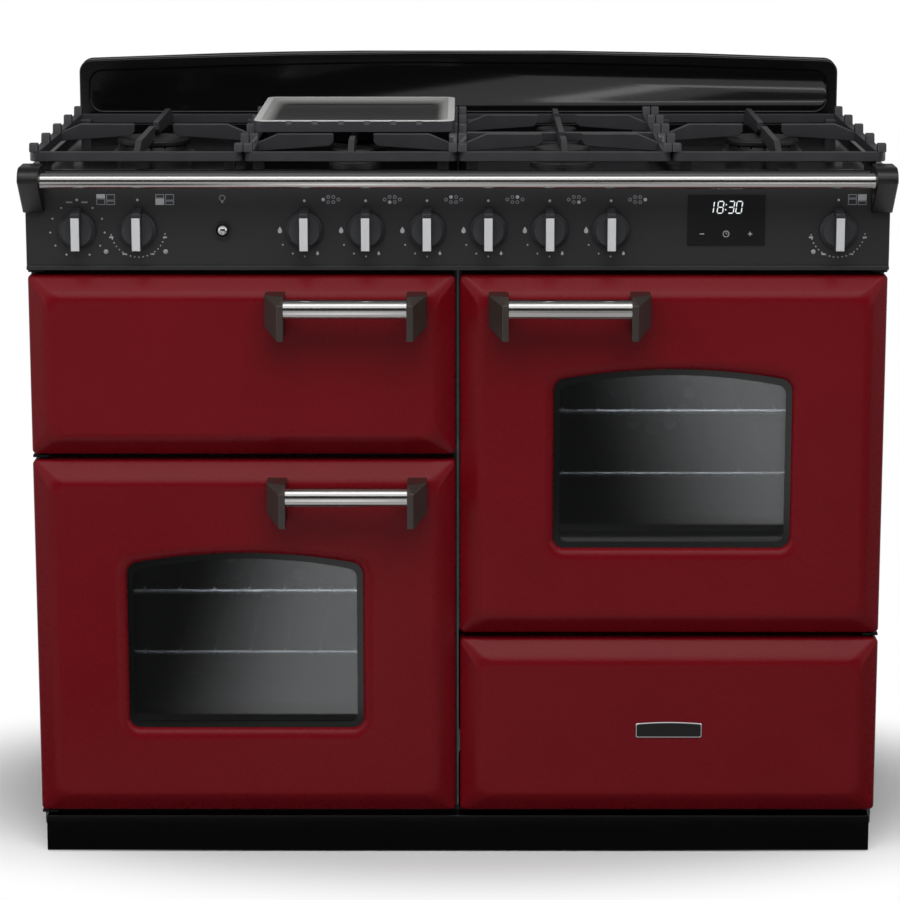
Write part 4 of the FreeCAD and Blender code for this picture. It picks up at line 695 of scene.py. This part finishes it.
# Brushed aluminium: satin lines along the strip, about 0.5 mm apart so that they show.
BRUSH = 0.0005
brushed, tree, shader, place = new_material("brushed_aluminium", Metallic=0.5)
along = add(tree, "ShaderNodeMapping", {"Vector": place, "Scale": (1.0, 1.0, 0.03)}).outputs["Vector"]
lines = add(tree, "ShaderNodeTexNoise", {"Vector": along, "Scale": 1 / BRUSH, "Detail": 2.0}).outputs["Fac"]
tone = add(tree, "ShaderNodeMix", {"Factor": lines, FROM: linear("#bfc0c2"), TO: linear("#dedfe1")},
           data_type="RGBA")
satin = add(tree, "ShaderNodeMapRange", {"Value": lines, "To Min": 0.38, "To Max": 0.55})
join(shader, {"Base Color": tone.outputs[MIXED], "Roughness": satin.outputs["Result"]})


def block(bm, low, high):
    """A sharp box between two corners; returns its vertices."""
    low, high = Vector(low), Vector(high)
    matrix = Matrix.Translation((low + high) / 2) @ Matrix.Diagonal((*(high - low), 1))
    return bmesh.ops.create_cube(bm, size=1, matrix=matrix)["verts"]


def rounded(bm, verts, radius):
    """Rounds every edge between some vertices."""
    corners = set(verts)
    edges = [edge for edge in bm.edges if corners.issuperset(edge.verts)]
    bmesh.ops.bevel(bm, geom=edges, offset=radius, offset_type="OFFSET", segments=3, profile=0.5,
                    affect="EDGES", clamp_overlap=True, material=-1)


for node in gas_knobs + oven_knobs:
    low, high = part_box(node)
    middle = knob_middle(node)
    radius = (high.x - low.x) / 2
    back = panel_y - DIAL_BACK
    dial = bmesh.new()
    rings = [(radius - inward / 1000, rise / 1000) for inward, rise in DIAL_SKIRT]
    rings = [(0, 0), *rings, (radius / 2, DIAL_SHOULDER), (0, DIAL_CROWN)]
    spun(dial, [(middle.x + out, back - rise, middle.z) for out, rise in rings], (0, 1, 0),
         (middle.x, back, middle.z), DIAL_SIDES)
    grip = block(dial, (middle.x - GRIP_WIDE / 2, low.y, low.z), (middle.x + GRIP_WIDE / 2, back, high.z))
    for vert in grip:
        if vert.co.y < (back + low.y) / 2 and vert.co.z > middle.z:
            vert.co.z -= GRIP_FALL
            vert.co.y += GRIP_BACK
    rounded(dial, grip, GRIP_ROUND)
    make_piece(f"{node}_moulding", dial, knob_plastic, node, "knob_plastic", node)
    strip = bmesh.new()
    strip_low = low.z + STRIP_UP
    plank = block(strip, (middle.x - STRIP_WIDE / 2, low.y - STRIP_PROUD, strip_low),
                  (middle.x + STRIP_WIDE / 2, low.y + STRIP_SUNK, strip_low + STRIP_LONG))
    rounded(strip, plank, STRIP_ROUND)
    make_piece(f"{node}_strip", strip, brushed, node, "polished_steel")

# Light button.
# A sprung chrome dome in the panel; it pushes straight in to light the ovens.
DOME_STEPS, DOME_SIDES = 8, 48

# Bright chrome: a clean mirror with a faint haze of about 4 mm.
HAZE = 0.004
bright_chrome, tree, shader, place = new_material("bright_chrome", Base_Color=linear("#d9dadc"), Metallic=1.0)
haze = add(tree, "ShaderNodeTexNoise", {"Vector": place, "Scale": 1 / HAZE, "Detail": 3.0})
polish = add(tree, "ShaderNodeMapRange", {"Value": haze.outputs["Fac"], "To Min": 0.05, "To Max": 0.12})
join(shader, {"Roughness": polish.outputs["Result"]})
dome = bmesh.new()
dome_radius = (button_high.x - button_low.x) / 2
dome_reach = panel_y - button_low.y
dome_deep = button_high.y - panel_y
profile = [(dome_radius * math.sin(turn), -dome_reach * math.cos(turn)) for turn in quarter_turn(DOME_STEPS)]
profile += [(dome_radius, dome_deep), (0, dome_deep)]
spun(dome, [(button_middle.x + out, panel_y + along, button_middle.z) for out, along in profile], (0, 1, 0),
     (button_middle.x, panel_y, button_middle.z), DOME_SIDES)
make_piece("light_button_dome", dome, bright_chrome, "light_button", "polished_steel", "light_button")

# Front rail and its brackets.
# A polished stainless tube the width of the cooker, socketed in a moulded bracket at each end that
# screws to the hob's corner.
BAR_SIDES, BRACKET_ROUND, BRACKET_STEPS = 96, 0.002, 3

# Polished stainless: a bright mirror, with faint polishing lines along the tube about 0.6 mm apart.
POLISHING = 0.0006
stainless, tree, shader, place = new_material("polished_stainless", Base_Color=linear("#d2d0ce"),
                                              Metallic=1.0)
along = add(tree, "ShaderNodeMapping", {"Vector": place, "Scale": (0.02, 1.0, 1.0)}).outputs["Vector"]
lines = add(tree, "ShaderNodeTexNoise", {"Vector": along, "Scale": 1 / POLISHING, "Detail": 2.0})
polish = add(tree, "ShaderNodeMapRange", {"Value": lines.outputs["Fac"], "To Min": 0.13, "To Max": 0.21})
join(shader, {"Roughness": polish.outputs["Result"]})


def make_bar(name, node, body):
    """A round bar along X in the place of a CAD one."""
    low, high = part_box(node)
    radius = (high.z - low.z) / 2
    middle = (low + high) / 2
    bar = bmesh.new()
    profile = [(low.x, 0), (low.x, radius), (high.x, radius), (high.x, 0)]
    spun(bar, [(x, middle.y, middle.z + out) for x, out in profile], (1, 0, 0), middle, BAR_SIDES)
    make_piece(name, bar, stainless, body, "polished_steel", node)


def satin_nylon(name, colour, gloss, smooth, rough):
    """Glass-filled nylon: one colour, with a satin grain that is worn unevenly smooth."""
    nylon, tree, shader, place = new_material(name, Base_Color=linear(colour), Specular_IOR_Level=gloss)
    grain = add(tree, "ShaderNodeTexNoise", {"Vector": place, "Scale": 1 / GRAIN, "Detail": 3.0})
    worn = add(tree, "ShaderNodeMapRange", {"Value": grain.outputs["Fac"], "To Min": smooth, "To Max": rough})
    join(shader, {"Roughness": worn.outputs["Result"]})
    return nylon


make_bar("front_rail_tube", "front_rail", "cooker")

# Bracket nylon: satin black.
bracket_black = satin_nylon("glass_filled_nylon", "#121213", 0.5, 0.24, 0.34)
make_piece("rail_bracket_mouldings", softened("rail_brackets", BRACKET_ROUND, BRACKET_STEPS), bracket_black,
           "cooker", "black_enamel", "rail_brackets")

# Door skins and drawer front.
# Deep-drawn steel, enamelled: a flange, a soft bevel all round and a flat face. The oven doors' faces
# roll back into an arched window opening.
SKIN_THICK = 0.0015
RIM_ROLL, BULGE, BEVEL, BLEND, RIM_STEPS, BEVEL_STEPS = 0.005, 0.018, 0.032, 0.45, 4, 12
CORNER_RADIUS, FACE_RADIUS, CORNER_STEPS = 0.006, 0.019, 8
WINDOW_X = {"left_oven_door": -0.2745, "right_oven_door": 0.2745}
WINDOW_WIDE, WINDOW_HIGH, WINDOW_LOW, WINDOW_RISE, WINDOW_RADIUS = 0.304, 0.234, 0.116, 0.015, 0.014
ROLL_WIDE, ROLL_DEEP, ROLL_STEPS, ARCH_STEPS = 0.016, 0.010, 7, 24


def outline(bm, x, z, y, radius, rise=0.0):
    """The edges of a rectangle with rounded corners, its top arched by the rise."""
    known = set(bm.edges)
    places = ((x[0], z[0]), (x[1], z[0]), (x[1], z[1]), (x[0], z[1]))
    corners = [bm.verts.new((right, y, up)) for right, up in places]
    arch = []
    if rise:
        for part in range(1, ARCH_STEPS):
            share = 1 - 2 * part / ARCH_STEPS
            right = (x[0] + x[1] + share * (x[1] - x[0])) / 2
            arch.append(bm.verts.new((right, y, z[1] + rise * (1 - share * share))))
    bm.faces.new(corners[:3] + arch + corners[3:])
    bmesh.ops.bevel(bm, geom=corners, offset=radius, offset_type="OFFSET", segments=CORNER_STEPS, profile=0.5,
                    affect="VERTICES", clamp_overlap=False, material=-1)
    edges = [edge for edge in bm.edges if edge not in known]
    faces = {face for edge in edges for face in edge.link_faces}
    bmesh.ops.delete(bm, geom=list(faces), context="FACES_ONLY")
    return edges


def window_outline(bm, door, y, out, radius):
    """The edges of an oven door's window opening, let out all round."""
    half = WINDOW_WIDE / 2 + out
    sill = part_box(f"{door}_panel")[0].z + WINDOW_LOW
    return outline(bm, (WINDOW_X[door] - half, WINDOW_X[door] + half),
                   (sill - out, sill + WINDOW_HIGH - WINDOW_RISE + out), y, radius, WINDOW_RISE)


def bridge(bm, loops):
    """Joins each closed loop of edges to the next."""
    for one, other in zip(loops, loops[1:]):
        bmesh.ops.bridge_loops(bm, edges=one + other)


def bevel_profile():
    """Steps from the flange over its roll, up the bevel and softly on to the face: inset and rise pairs."""
    slope = BULGE / (1 - BLEND / 2) / BEVEL
    turned = math.pi / 2 - math.atan(slope)
    steps = []
    for part in range(RIM_STEPS + 1):
        turn = turned * part / RIM_STEPS
        steps.append((RIM_ROLL * (1 - math.cos(turn)), RIM_ROLL * (math.sin(turn) - 1)))
    start, low = steps[-1]
    run = BEVEL - start
    climb = (BULGE - low) / (1 - BLEND / 2)
    for part in range(1, BEVEL_STEPS + 1):
        share = part / BEVEL_STEPS
        past = max(0.0, share - (1 - BLEND))
        steps.append((start + run * share, low + climb * (share - past * past / (2 * BLEND))))
    return steps


def make_skin(name, node, body):
    """A pressed front in the place of a CAD one, with a window where its door has one."""
    low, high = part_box(node)
    rim_y = low.y + BULGE
    bm = bmesh.new()
    loops = [outline(bm, (low.x, high.x), (low.z, high.z), high.y, CORNER_RADIUS)]
    for inset, rise in bevel_profile():
        radius = CORNER_RADIUS + (FACE_RADIUS - CORNER_RADIUS) * inset / BEVEL
        loops.append(outline(bm, (low.x + inset, high.x - inset), (low.z + inset, high.z - inset),
                             rim_y - rise, radius))
    bridge(bm, loops)
    if body in WINDOW_X:
        rolls = []
        for turn in quarter_turn(ROLL_STEPS):
            out = ROLL_WIDE * (1 - math.sin(turn))
            deep = ROLL_DEEP * (1 - math.cos(turn))
            rolls.append(window_outline(bm, body, low.y + deep, out, WINDOW_RADIUS + out))
        bmesh.ops.triangle_fill(bm, use_beauty=True, edges=loops[-1] + rolls[0])
        bridge(bm, rolls)
    else:
        bmesh.ops.contextual_create(bm, geom=loops[-1])
    bmesh.ops.recalc_face_normals(bm, faces=bm.faces)
    bmesh.ops.solidify(bm, geom=bm.faces[:], thickness=SKIN_THICK)
    make_piece(name, bm, burgundy, body, "burgundy_enamel", node)


# Burgundy vitreous enamel: deep wine red glass on steel, glossy but softened by a fine orange peel of
# about 6 mm, with a little drift of tone from the firing.
PEEL_RED, DRIFT = 0.006, 0.12
burgundy, tree, shader, place = new_material("burgundy_vitreous_enamel", Specular_IOR_Level=0.15)
flow = add(tree, "ShaderNodeTexNoise", {"Vector": place, "Scale": 1 / PEEL_RED, "Detail": 2.0})
firing = add(tree, "ShaderNodeTexNoise", {"Vector": place, "Scale": 1 / DRIFT, "Detail": 2.0}).outputs["Fac"]
tone = add(tree, "ShaderNodeMix", {"Factor": firing, FROM: linear("#5a050e"), TO: linear("#61060f")},
           data_type="RGBA")
shine = add(tree, "ShaderNodeMapRange", {"Value": flow.outputs["Fac"], "To Min": 0.24, "To Max": 0.32})
peel = add(tree, "ShaderNodeBump", {"Height": flow.outputs["Fac"], "Strength": 0.05, "Distance": 0.0002})
join(shader, {"Base Color": tone.outputs[MIXED], "Roughness": shine.outputs["Result"],
              "Normal": peel.outputs["Normal"]})
for door in ("grill_door", "left_oven_door", "right_oven_door"):
    make_skin(f"{door}_skin", f"{door}_panel", door)
make_skin("drawer_front_skin", "drawer_front", "drawer")

# Door liners and hinges.
# The liners are enamelled pans that close the doors' backs; the hinges are zinc-plated plates with
# pins at the doors' outer edges.
dress(oven_enamel, "grill_door_liner", "left_oven_door_liner", "right_oven_door_liner")

# Black-passivated zinc: a dull charcoal film, cloudy over about 3 mm.
FILM = 0.003
hinge_black, tree, shader, place = new_material("black_passivated_zinc", Metallic=0.6)
film = add(tree, "ShaderNodeTexNoise", {"Vector": place, "Scale": 1 / FILM}).outputs["Fac"]
tone = add(tree, "ShaderNodeMix", {"Factor": film, FROM: linear("#0e0e0f"), TO: linear("#1a1a1b")},
           data_type="RGBA")
dull = add(tree, "ShaderNodeMapRange", {"Value": film, "To Min": 0.45, "To Max": 0.6})
join(shader, {"Base Color": tone.outputs[MIXED], "Roughness": dull.outputs["Result"]})
dress(hinge_black, "door_hinges")

# Door glass.
# Two toughened panes in each oven door; the outer one carries a fired black border that hides its
# glue.

# Smoke-tinted glass: clear and sharp, a little grey, with a drift of tone of about 100 mm.
SMOKE = 0.1
glass, tree, shader, place = new_material("smoke_tinted_glass", Roughness=0.02, IOR=1.7,
                                          Transmission_Weight=1.0)
smoke = add(tree, "ShaderNodeTexNoise", {"Vector": place, "Scale": 1 / SMOKE}).outputs["Fac"]
tint = add(tree, "ShaderNodeMix", {"Factor": smoke, FROM: linear("#a4a8ab"), TO: linear("#aeb2b5")},
           data_type="RGBA")
join(shader, {"Base Color": tint.outputs[MIXED]})
dress(glass, "left_oven_door_glass", "right_oven_door_glass")

# Fired border: opaque black frit on the face of the outer pane, about 8 mm wide inside the opening.
BORDER_WIDE, BORDER_HIDDEN, BORDER_RISE, BORDER_TURN = 0.0078, 0.004, 0.0002, 0.5
border_ink, tree, shader, place = new_material("fired_glass_border", Roughness=0.12, Specular_IOR_Level=0.4)
fired = add(tree, "ShaderNodeTexNoise", {"Vector": place, "Scale": 1 / SCREEN}).outputs["Fac"]
tone = add(tree, "ShaderNodeMix", {"Factor": fired, FROM: linear("#070808"), TO: linear("#0c0d0d")},
           data_type="RGBA")
join(shader, {"Base Color": tone.outputs[MIXED]})
for side in ("left", "right"):
    door = f"{side}_oven_door"
    pane_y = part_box(f"{door}_glass")[0].y - BORDER_RISE
    border = bmesh.new()
    bridge(border, [window_outline(border, door, pane_y, out, WINDOW_RADIUS + out * BORDER_TURN)
                    for out in (BORDER_HIDDEN, -BORDER_WIDE)])
    bmesh.ops.recalc_face_normals(border, faces=border.faces)
    make_piece(f"{side}_window_border", border, border_ink, door, "black_enamel")

# Door handles.
# A polished stainless bar held between two moulded ends that screw to the door from behind. Each end
# is a faceted block: a narrow ridge beside the bar, and a flank that slopes back from it.
RIDGE_WIDE, FLANK_BACK, FLANK_HIGH, NOSE_BACK, NOSE_FALL = 0.008, 0.026, 0.040, 0.012, 0.010
END_ROUND, FACET_FLAT = 0.0009, math.radians(1)

# Handle nylon: bronze-tinted, a satin charcoal brown.
handle_brown = satin_nylon("bronze_tinted_nylon", "#2b2421", 0.6, 0.28, 0.36)
for door in ("grill", "left_oven", "right_oven"):
    make_bar(f"{door}_handle_tube", f"{door}_handle_bar", f"{door}_door")
    bar_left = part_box(f"{door}_handle_bar")[0].x
    ends = bmesh.new()
    for low, high in islands(f"{door}_handle_ends"):
        outer, inner = (low.x, high.x) if low.x < bar_left else (high.x, low.x)
        ridge = inner + math.copysign(RIDGE_WIDE, outer - inner)
        flank_y, flank_z, nose_z = low.y + FLANK_BACK, high.z - FLANK_HIGH, high.z - NOSE_FALL
        corners = [(outer, high.y, high.z), (inner, high.y, high.z), (outer, high.y, flank_z),
                   (ridge, high.y, low.z), (inner, high.y, low.z),
                   (outer, flank_y, high.z), (outer, flank_y, flank_z), (inner, low.y + NOSE_BACK, high.z),
                   (ridge, low.y, nose_z), (inner, low.y, nose_z),
                   (ridge, low.y, low.z), (inner, low.y, low.z)]
        bmesh.ops.convex_hull(ends, input=[ends.verts.new(corner) for corner in corners])
    bmesh.ops.dissolve_limit(ends, angle_limit=FACET_FLAT, verts=ends.verts, edges=ends.edges)
    rounded(ends, ends.verts, END_ROUND)
    bmesh.ops.recalc_face_normals(ends, faces=ends.faces)
    make_piece(f"{door}_handle_mouldings", ends, handle_brown, f"{door}_door", "handle_moulding",
               f"{door}_handle_ends")

# Drawer box and runners.
# A folded zinc box that slides on two channel runners in the lower right bay.
dress(zinc, "drawer_box", "drawer_runners")

# Drawer badge.
# A small bare plate pressed from bright steel, with a dark enamelled field, glued to the drawer.
BADGE_WIDE, BADGE_HIGH, BADGE_THICK, BADGE_X, BADGE_Z = 0.086, 0.021, 0.002, 0.274, 0.176
BADGE_RISE, BADGE_RADIUS, BADGE_EASE = 0.002, 0.002, 0.0004
BORDER, WALL, WALL_DEEP, FIELD_DEEP, FIELD_RADIUS = 0.0013, 0.0003, 0.0008, 0.0006, 0.0018
drawer_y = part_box("drawer_front")[0].y


def badge_outline(bm, inset, rise, radius):
    """The edges of the badge, taken in all round, at a height over the drawer's face."""
    half_wide, half_high = BADGE_WIDE / 2 - inset, BADGE_HIGH / 2 - inset
    return outline(bm, (BADGE_X - half_wide, BADGE_X + half_wide),
                   (BADGE_Z - half_high, BADGE_Z + half_high - BADGE_RISE),
                   drawer_y - rise, radius, BADGE_RISE)


plate = bmesh.new()
steps = [(0, 0), (0, BADGE_THICK - BADGE_EASE), (BADGE_EASE, BADGE_THICK), (BORDER, BADGE_THICK),
         (BORDER + WALL, BADGE_THICK - WALL_DEEP)]
rims = [badge_outline(plate, inset, rise, BADGE_RADIUS) for inset, rise in steps]
bridge(plate, rims)
bmesh.ops.contextual_create(plate, geom=rims[-1])
bmesh.ops.recalc_face_normals(plate, faces=plate.faces)
make_piece("drawer_badge_rim", plate, bright_chrome, "drawer", "polished_steel")
field = bmesh.new()
edges = badge_outline(field, BORDER + WALL, BADGE_THICK - FIELD_DEEP, FIELD_RADIUS)
bmesh.ops.contextual_create(field, geom=edges)
make_piece("drawer_badge_field", field, gloss_black, "drawer", "black_enamel")

# Studio floor and backdrop.
# Pale paper that fades to plain white away from the cooker. Seen directly, or in metal and glass, it
# is white; the light that it throws back on the cooker is that of grey paper.
FADE_START, FADE_END, FADE_STRETCH = 0.27, 0.48, 2.0
FLOOR_HALF = 30
BACKDROP_LIGHT, BACKDROP_SEEN = 0.4, 1.0


def stage_sheet(name, low, high, material):
    """A flat sheet of the studio between two corners that share one coordinate."""
    low, high = Vector(low), Vector(high)
    one, other = [axis for axis in range(3) if high[axis] > low[axis]]
    second, fourth = low.copy(), low.copy()
    second[one] = high[one]
    fourth[other] = high[other]
    mesh = bpy.data.meshes.new(name)
    bm = bmesh.new()
    bm.faces.new([bm.verts.new(corner) for corner in (low, second, high, fourth)])
    bm.to_mesh(mesh)
    bm.free()
    mesh.materials.append(material)
    sheet = bpy.data.objects.new(name, mesh)
    bpy.context.scene.collection.objects.link(sheet)
    sheet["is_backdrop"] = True
    return sheet


def seen_directly(tree):
    """One for rays that show the studio itself, in the view or in metal and glass, and zero for its light."""
    path = add(tree, "ShaderNodeLightPath").outputs
    seen = path["Is Camera Ray"]
    for kind in ("Is Glossy Ray", "Is Transmission Ray"):
        seen = add(tree, "ShaderNodeMath", {0: seen, 1: path[kind]}, operation="MAXIMUM").outputs[0]
    return seen


paper = bpy.data.materials.new("studio_paper")
paper.use_nodes = True
tree = paper.node_tree
tree.nodes.clear()
place = add(tree, "ShaderNodeTexCoord").outputs["Object"]
squeezed = add(tree, "ShaderNodeMapping", {"Vector": place, "Scale": (1 / FADE_STRETCH, 1.0, 1.0)})
distance = add(tree, "ShaderNodeVectorMath", {0: squeezed.outputs["Vector"]}, operation="LENGTH")
fade = add(tree, "ShaderNodeMapRange",
           {"Value": distance.outputs["Value"], "From Min": FADE_START, "From Max": FADE_END},
           interpolation_type="SMOOTHSTEP")
matt = add(tree, "ShaderNodeBsdfDiffuse", {"Color": linear("#c4c4c4")})
pale = add(tree, "ShaderNodeBsdfDiffuse", {"Color": linear("#cecece")})
white = add(tree, "ShaderNodeEmission", {"Color": linear("#ffffff"), "Strength": 1.0})
faded = add(tree, "ShaderNodeMixShader", {0: fade.outputs["Result"], 1: pale.outputs[0], 2: white.outputs[0]})
shown = add(tree, "ShaderNodeMixShader", {0: seen_directly(tree), 1: matt.outputs[0], 2: faded.outputs[0]})
add(tree, "ShaderNodeOutputMaterial", {"Surface": shown.outputs[0]})
stage_sheet("studio_floor", (-FLOOR_HALF, -FLOOR_HALF, 0), (FLOOR_HALF, FLOOR_HALF, 0), paper)

world = bpy.data.worlds.new("studio_backdrop")
bpy.context.scene.world = world
world.use_nodes = True
tree = world.node_tree
tree.nodes.clear()
strength = add(tree, "ShaderNodeMapRange",
               {"Value": seen_directly(tree), "To Min": BACKDROP_LIGHT, "To Max": BACKDROP_SEEN})
light = add(tree, "ShaderNodeBackground",
            {"Color": linear("#ffffff"), "Strength": strength.outputs["Result"]})
add(tree, "ShaderNodeOutputWorld", {"Surface": light.outputs[0]})

# Reflector cards, which show only in shiny surfaces and glass.
# Felt close in front and behind the camera, a floor cloth that darkens to the right, a grey ceiling
# and rear wall, a strip of light for the bars, and a graded card with a dark sill for each window.
FELT_HALF, FELT_BACK, FELT_FRONT = 4, -0.2, -0.4
CLOTH_HALF, CLOTH_FRONT, CLOTH_FROM_X, CLOTH_TO_X = 8, -25, -0.8, 2.6
STUDIO_HALF, STUDIO_FRONT, STUDIO_BACK, STUDIO_TOP = 9, -9, 3, 5.4
CEILING_FRONT, CEILING_Z = -0.92, 4.2
STRIP_LIGHT_HALF, STRIP_LIGHT_Y, STRIP_LIGHT_FOOT = 3, -2.5, 4.4
CLOTH_Z, CARD_Z, SILL_Z = 0.001, 0.002, 0.003
CARD_DARK, CARD_BRIGHT = 0.05, 1.05


def card(name, low, high, material):
    """A sheet that shows in reflections and throws no light."""
    sheet = stage_sheet(name, low, high, material)
    sheet.visible_camera = False
    sheet.visible_diffuse = False
    sheet.visible_shadow = False


def glow_card(name, grey, from_x=0.0, to_x=0.0, bright=None):
    """A card's cloth, of one grey or graded along X from grey to bright."""
    material = bpy.data.materials.new(name)
    material.use_nodes = True
    tree = material.node_tree
    tree.nodes.clear()
    cloth = add(tree, "ShaderNodeEmission", {"Color": linear("#ffffff"), "Strength": grey})
    if bright:
        place = add(tree, "ShaderNodeTexCoord").outputs["Object"]
        x = add(tree, "ShaderNodeSeparateXYZ", {"Vector": place}).outputs["X"]
        grade = add(tree, "ShaderNodeMapRange",
                    {"Value": x, "From Min": from_x, "From Max": to_x, "To Min": grey, "To Max": bright},
                    interpolation_type="SMOOTHERSTEP")
        join(cloth, {"Strength": grade.outputs["Result"]})
    add(tree, "ShaderNodeOutputMaterial", {"Surface": cloth.outputs[0]})
    return material


felt = glow_card("black_felt", 0.015)
cloth = glow_card("grey_floor_cloth", 0.5, CLOTH_FROM_X, CLOTH_TO_X, 0.12)
ceiling = glow_card("grey_ceiling", 0.16)
strip_light = glow_card("strip_light", 4.0)
sill = glow_card("dark_card", 0.09)
wall = glow_card("grey_wall", 0.22)
card("near_felt", (-FELT_HALF, FELT_FRONT, CLOTH_Z), (FELT_HALF, FELT_BACK, CLOTH_Z), felt)
card("floor_cloth", (-CLOTH_HALF, CLOTH_FRONT, CLOTH_Z), (CLOTH_HALF, FELT_FRONT, CLOTH_Z), cloth)
card("camera_felt", (-STUDIO_HALF, STUDIO_FRONT, 0), (STUDIO_HALF, STUDIO_FRONT, STUDIO_TOP), felt)
card("rear_ceiling", (-STUDIO_HALF, CEILING_FRONT, CEILING_Z), (STUDIO_HALF, STUDIO_BACK, CEILING_Z), ceiling)
card("front_strip", (-STRIP_LIGHT_HALF, STRIP_LIGHT_Y, STRIP_LIGHT_FOOT),
     (STRIP_LIGHT_HALF, STRIP_LIGHT_Y, STUDIO_TOP), strip_light)
card("rear_wall", (-STUDIO_HALF, STUDIO_BACK, 0), (STUDIO_HALF, STUDIO_BACK, CEILING_Z), wall)

# For each window: the card's reach across and in depth, its sill's depth, and where its grade runs.
WINDOW_CARDS = {"left": ((-0.72, -0.12), (-1.95, -0.8), 0.07, (-0.5, -0.17)),
                "right": ((0.12, 0.9), (-3.9, -1.96), 0.10, (0.23, 0.74))}
for side, (x, y, sill_deep, grade) in WINDOW_CARDS.items():
    graded = glow_card(f"{side}_grade", CARD_DARK, *grade, CARD_BRIGHT)
    card(f"{side}_window_card", (x[0], y[0], CARD_Z), (x[1], y[1], CARD_Z), graded)
    card(f"{side}_sill_card", (x[0], y[1] - sill_deep, SILL_Z), (x[1], y[1], SILL_Z), sill)

# Lamps.
# A large soft box overhead in front, a weak one from the left, and in each oven a small lamp and a
# strip over the front of the shelves.
AIM = (0, -0.2, 0.5)
OVERHEAD_AT, OVERHEAD_SIZE, OVERHEAD_WATTS = (0.0, -2.2, 3.2), (3.4, 1.6), 120
LEFT_AT, LEFT_SIZE, LEFT_WATTS = (-3.0, -2.6, 1.6), (1.2, 2.0), 20
OVEN_LAMP_Y, OVEN_AIM_Y, OVEN_LAMP_SIZE, OVEN_LAMP_WATTS = -0.19, 0.1, (0.2, 0.02), 0.12
OVEN_LAMP_RIGHT, OVEN_LAMP_UP, OVEN_AIM_DOWN = 0.1, 0.17, 0.1
SHELF_LAMP_RIGHT, SHELF_LAMP_FRONT, SHELF_LAMP_DOWN = 0.05, 0.012, 0.085
SHELF_LAMP_SIZE, SHELF_LAMP_WATTS = (0.26, 0.006), 0.5


def soft_light(name, place, aim, size, watts):
    """A rectangular soft box that points at a place."""
    lamp = bpy.data.lights.new(name, "AREA")
    lamp.shape = "RECTANGLE"
    lamp.size, lamp.size_y = size
    lamp.energy = watts
    light = bpy.data.objects.new(name, lamp)
    light.location = place
    light.rotation_mode = "QUATERNION"
    light.rotation_quaternion = (Vector(aim) - Vector(place)).to_track_quat("-Z", "Y")
    bpy.context.scene.collection.objects.link(light)
    return light


overhead = soft_light("overhead_softbox", OVERHEAD_AT, AIM, OVERHEAD_SIZE, OVERHEAD_WATTS)
beside_left = soft_light("left_softbox", LEFT_AT, AIM, LEFT_SIZE, LEFT_WATTS)
overhead.visible_glossy = False
beside_left.visible_glossy = False
for side in ("left", "right"):
    low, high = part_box(f"{side}_oven_cavity")
    middle = (low + high) / 2
    soft_light(f"{side}_oven_lamp", (middle.x + OVEN_LAMP_RIGHT, OVEN_LAMP_Y, middle.z + OVEN_LAMP_UP),
               (middle.x, OVEN_AIM_Y, middle.z - OVEN_AIM_DOWN), OVEN_LAMP_SIZE, OVEN_LAMP_WATTS)
    strip_x = middle.x + SHELF_LAMP_RIGHT
    soft_light(f"{side}_shelf_lamp", (strip_x, shelf_front - SHELF_LAMP_FRONT, high.z - SHELF_LAMP_DOWN),
               (strip_x, shelf_front, low.z), SHELF_LAMP_SIZE, SHELF_LAMP_WATTS)

# Camera.
# A long lens above the hob's height that looks down a little, at the photograph's viewing angle.
CAMERA_AT, LOOK_DOWN, LOOK_LEFT = (0.007, -4.01, 1.377), 10.8, 0.045
LENS_LONG, SENSOR_WIDE, SHIFT_X, SHIFT_Y = 119.8, 36, -0.0121, -0.1
camera = bpy.data.cameras.new("camera")
camera.lens = LENS_LONG
camera.sensor_width = SENSOR_WIDE
camera.shift_x = SHIFT_X
camera.shift_y = SHIFT_Y
view = bpy.data.objects.new("camera", camera)
view.location = CAMERA_AT
view.rotation_euler = (math.radians(90 - LOOK_DOWN), 0, math.radians(LOOK_LEFT))
bpy.context.scene.collection.objects.link(view)
bpy.context.scene.camera = view
bpy.context.scene.view_settings.view_transform = "Standard"

low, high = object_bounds()
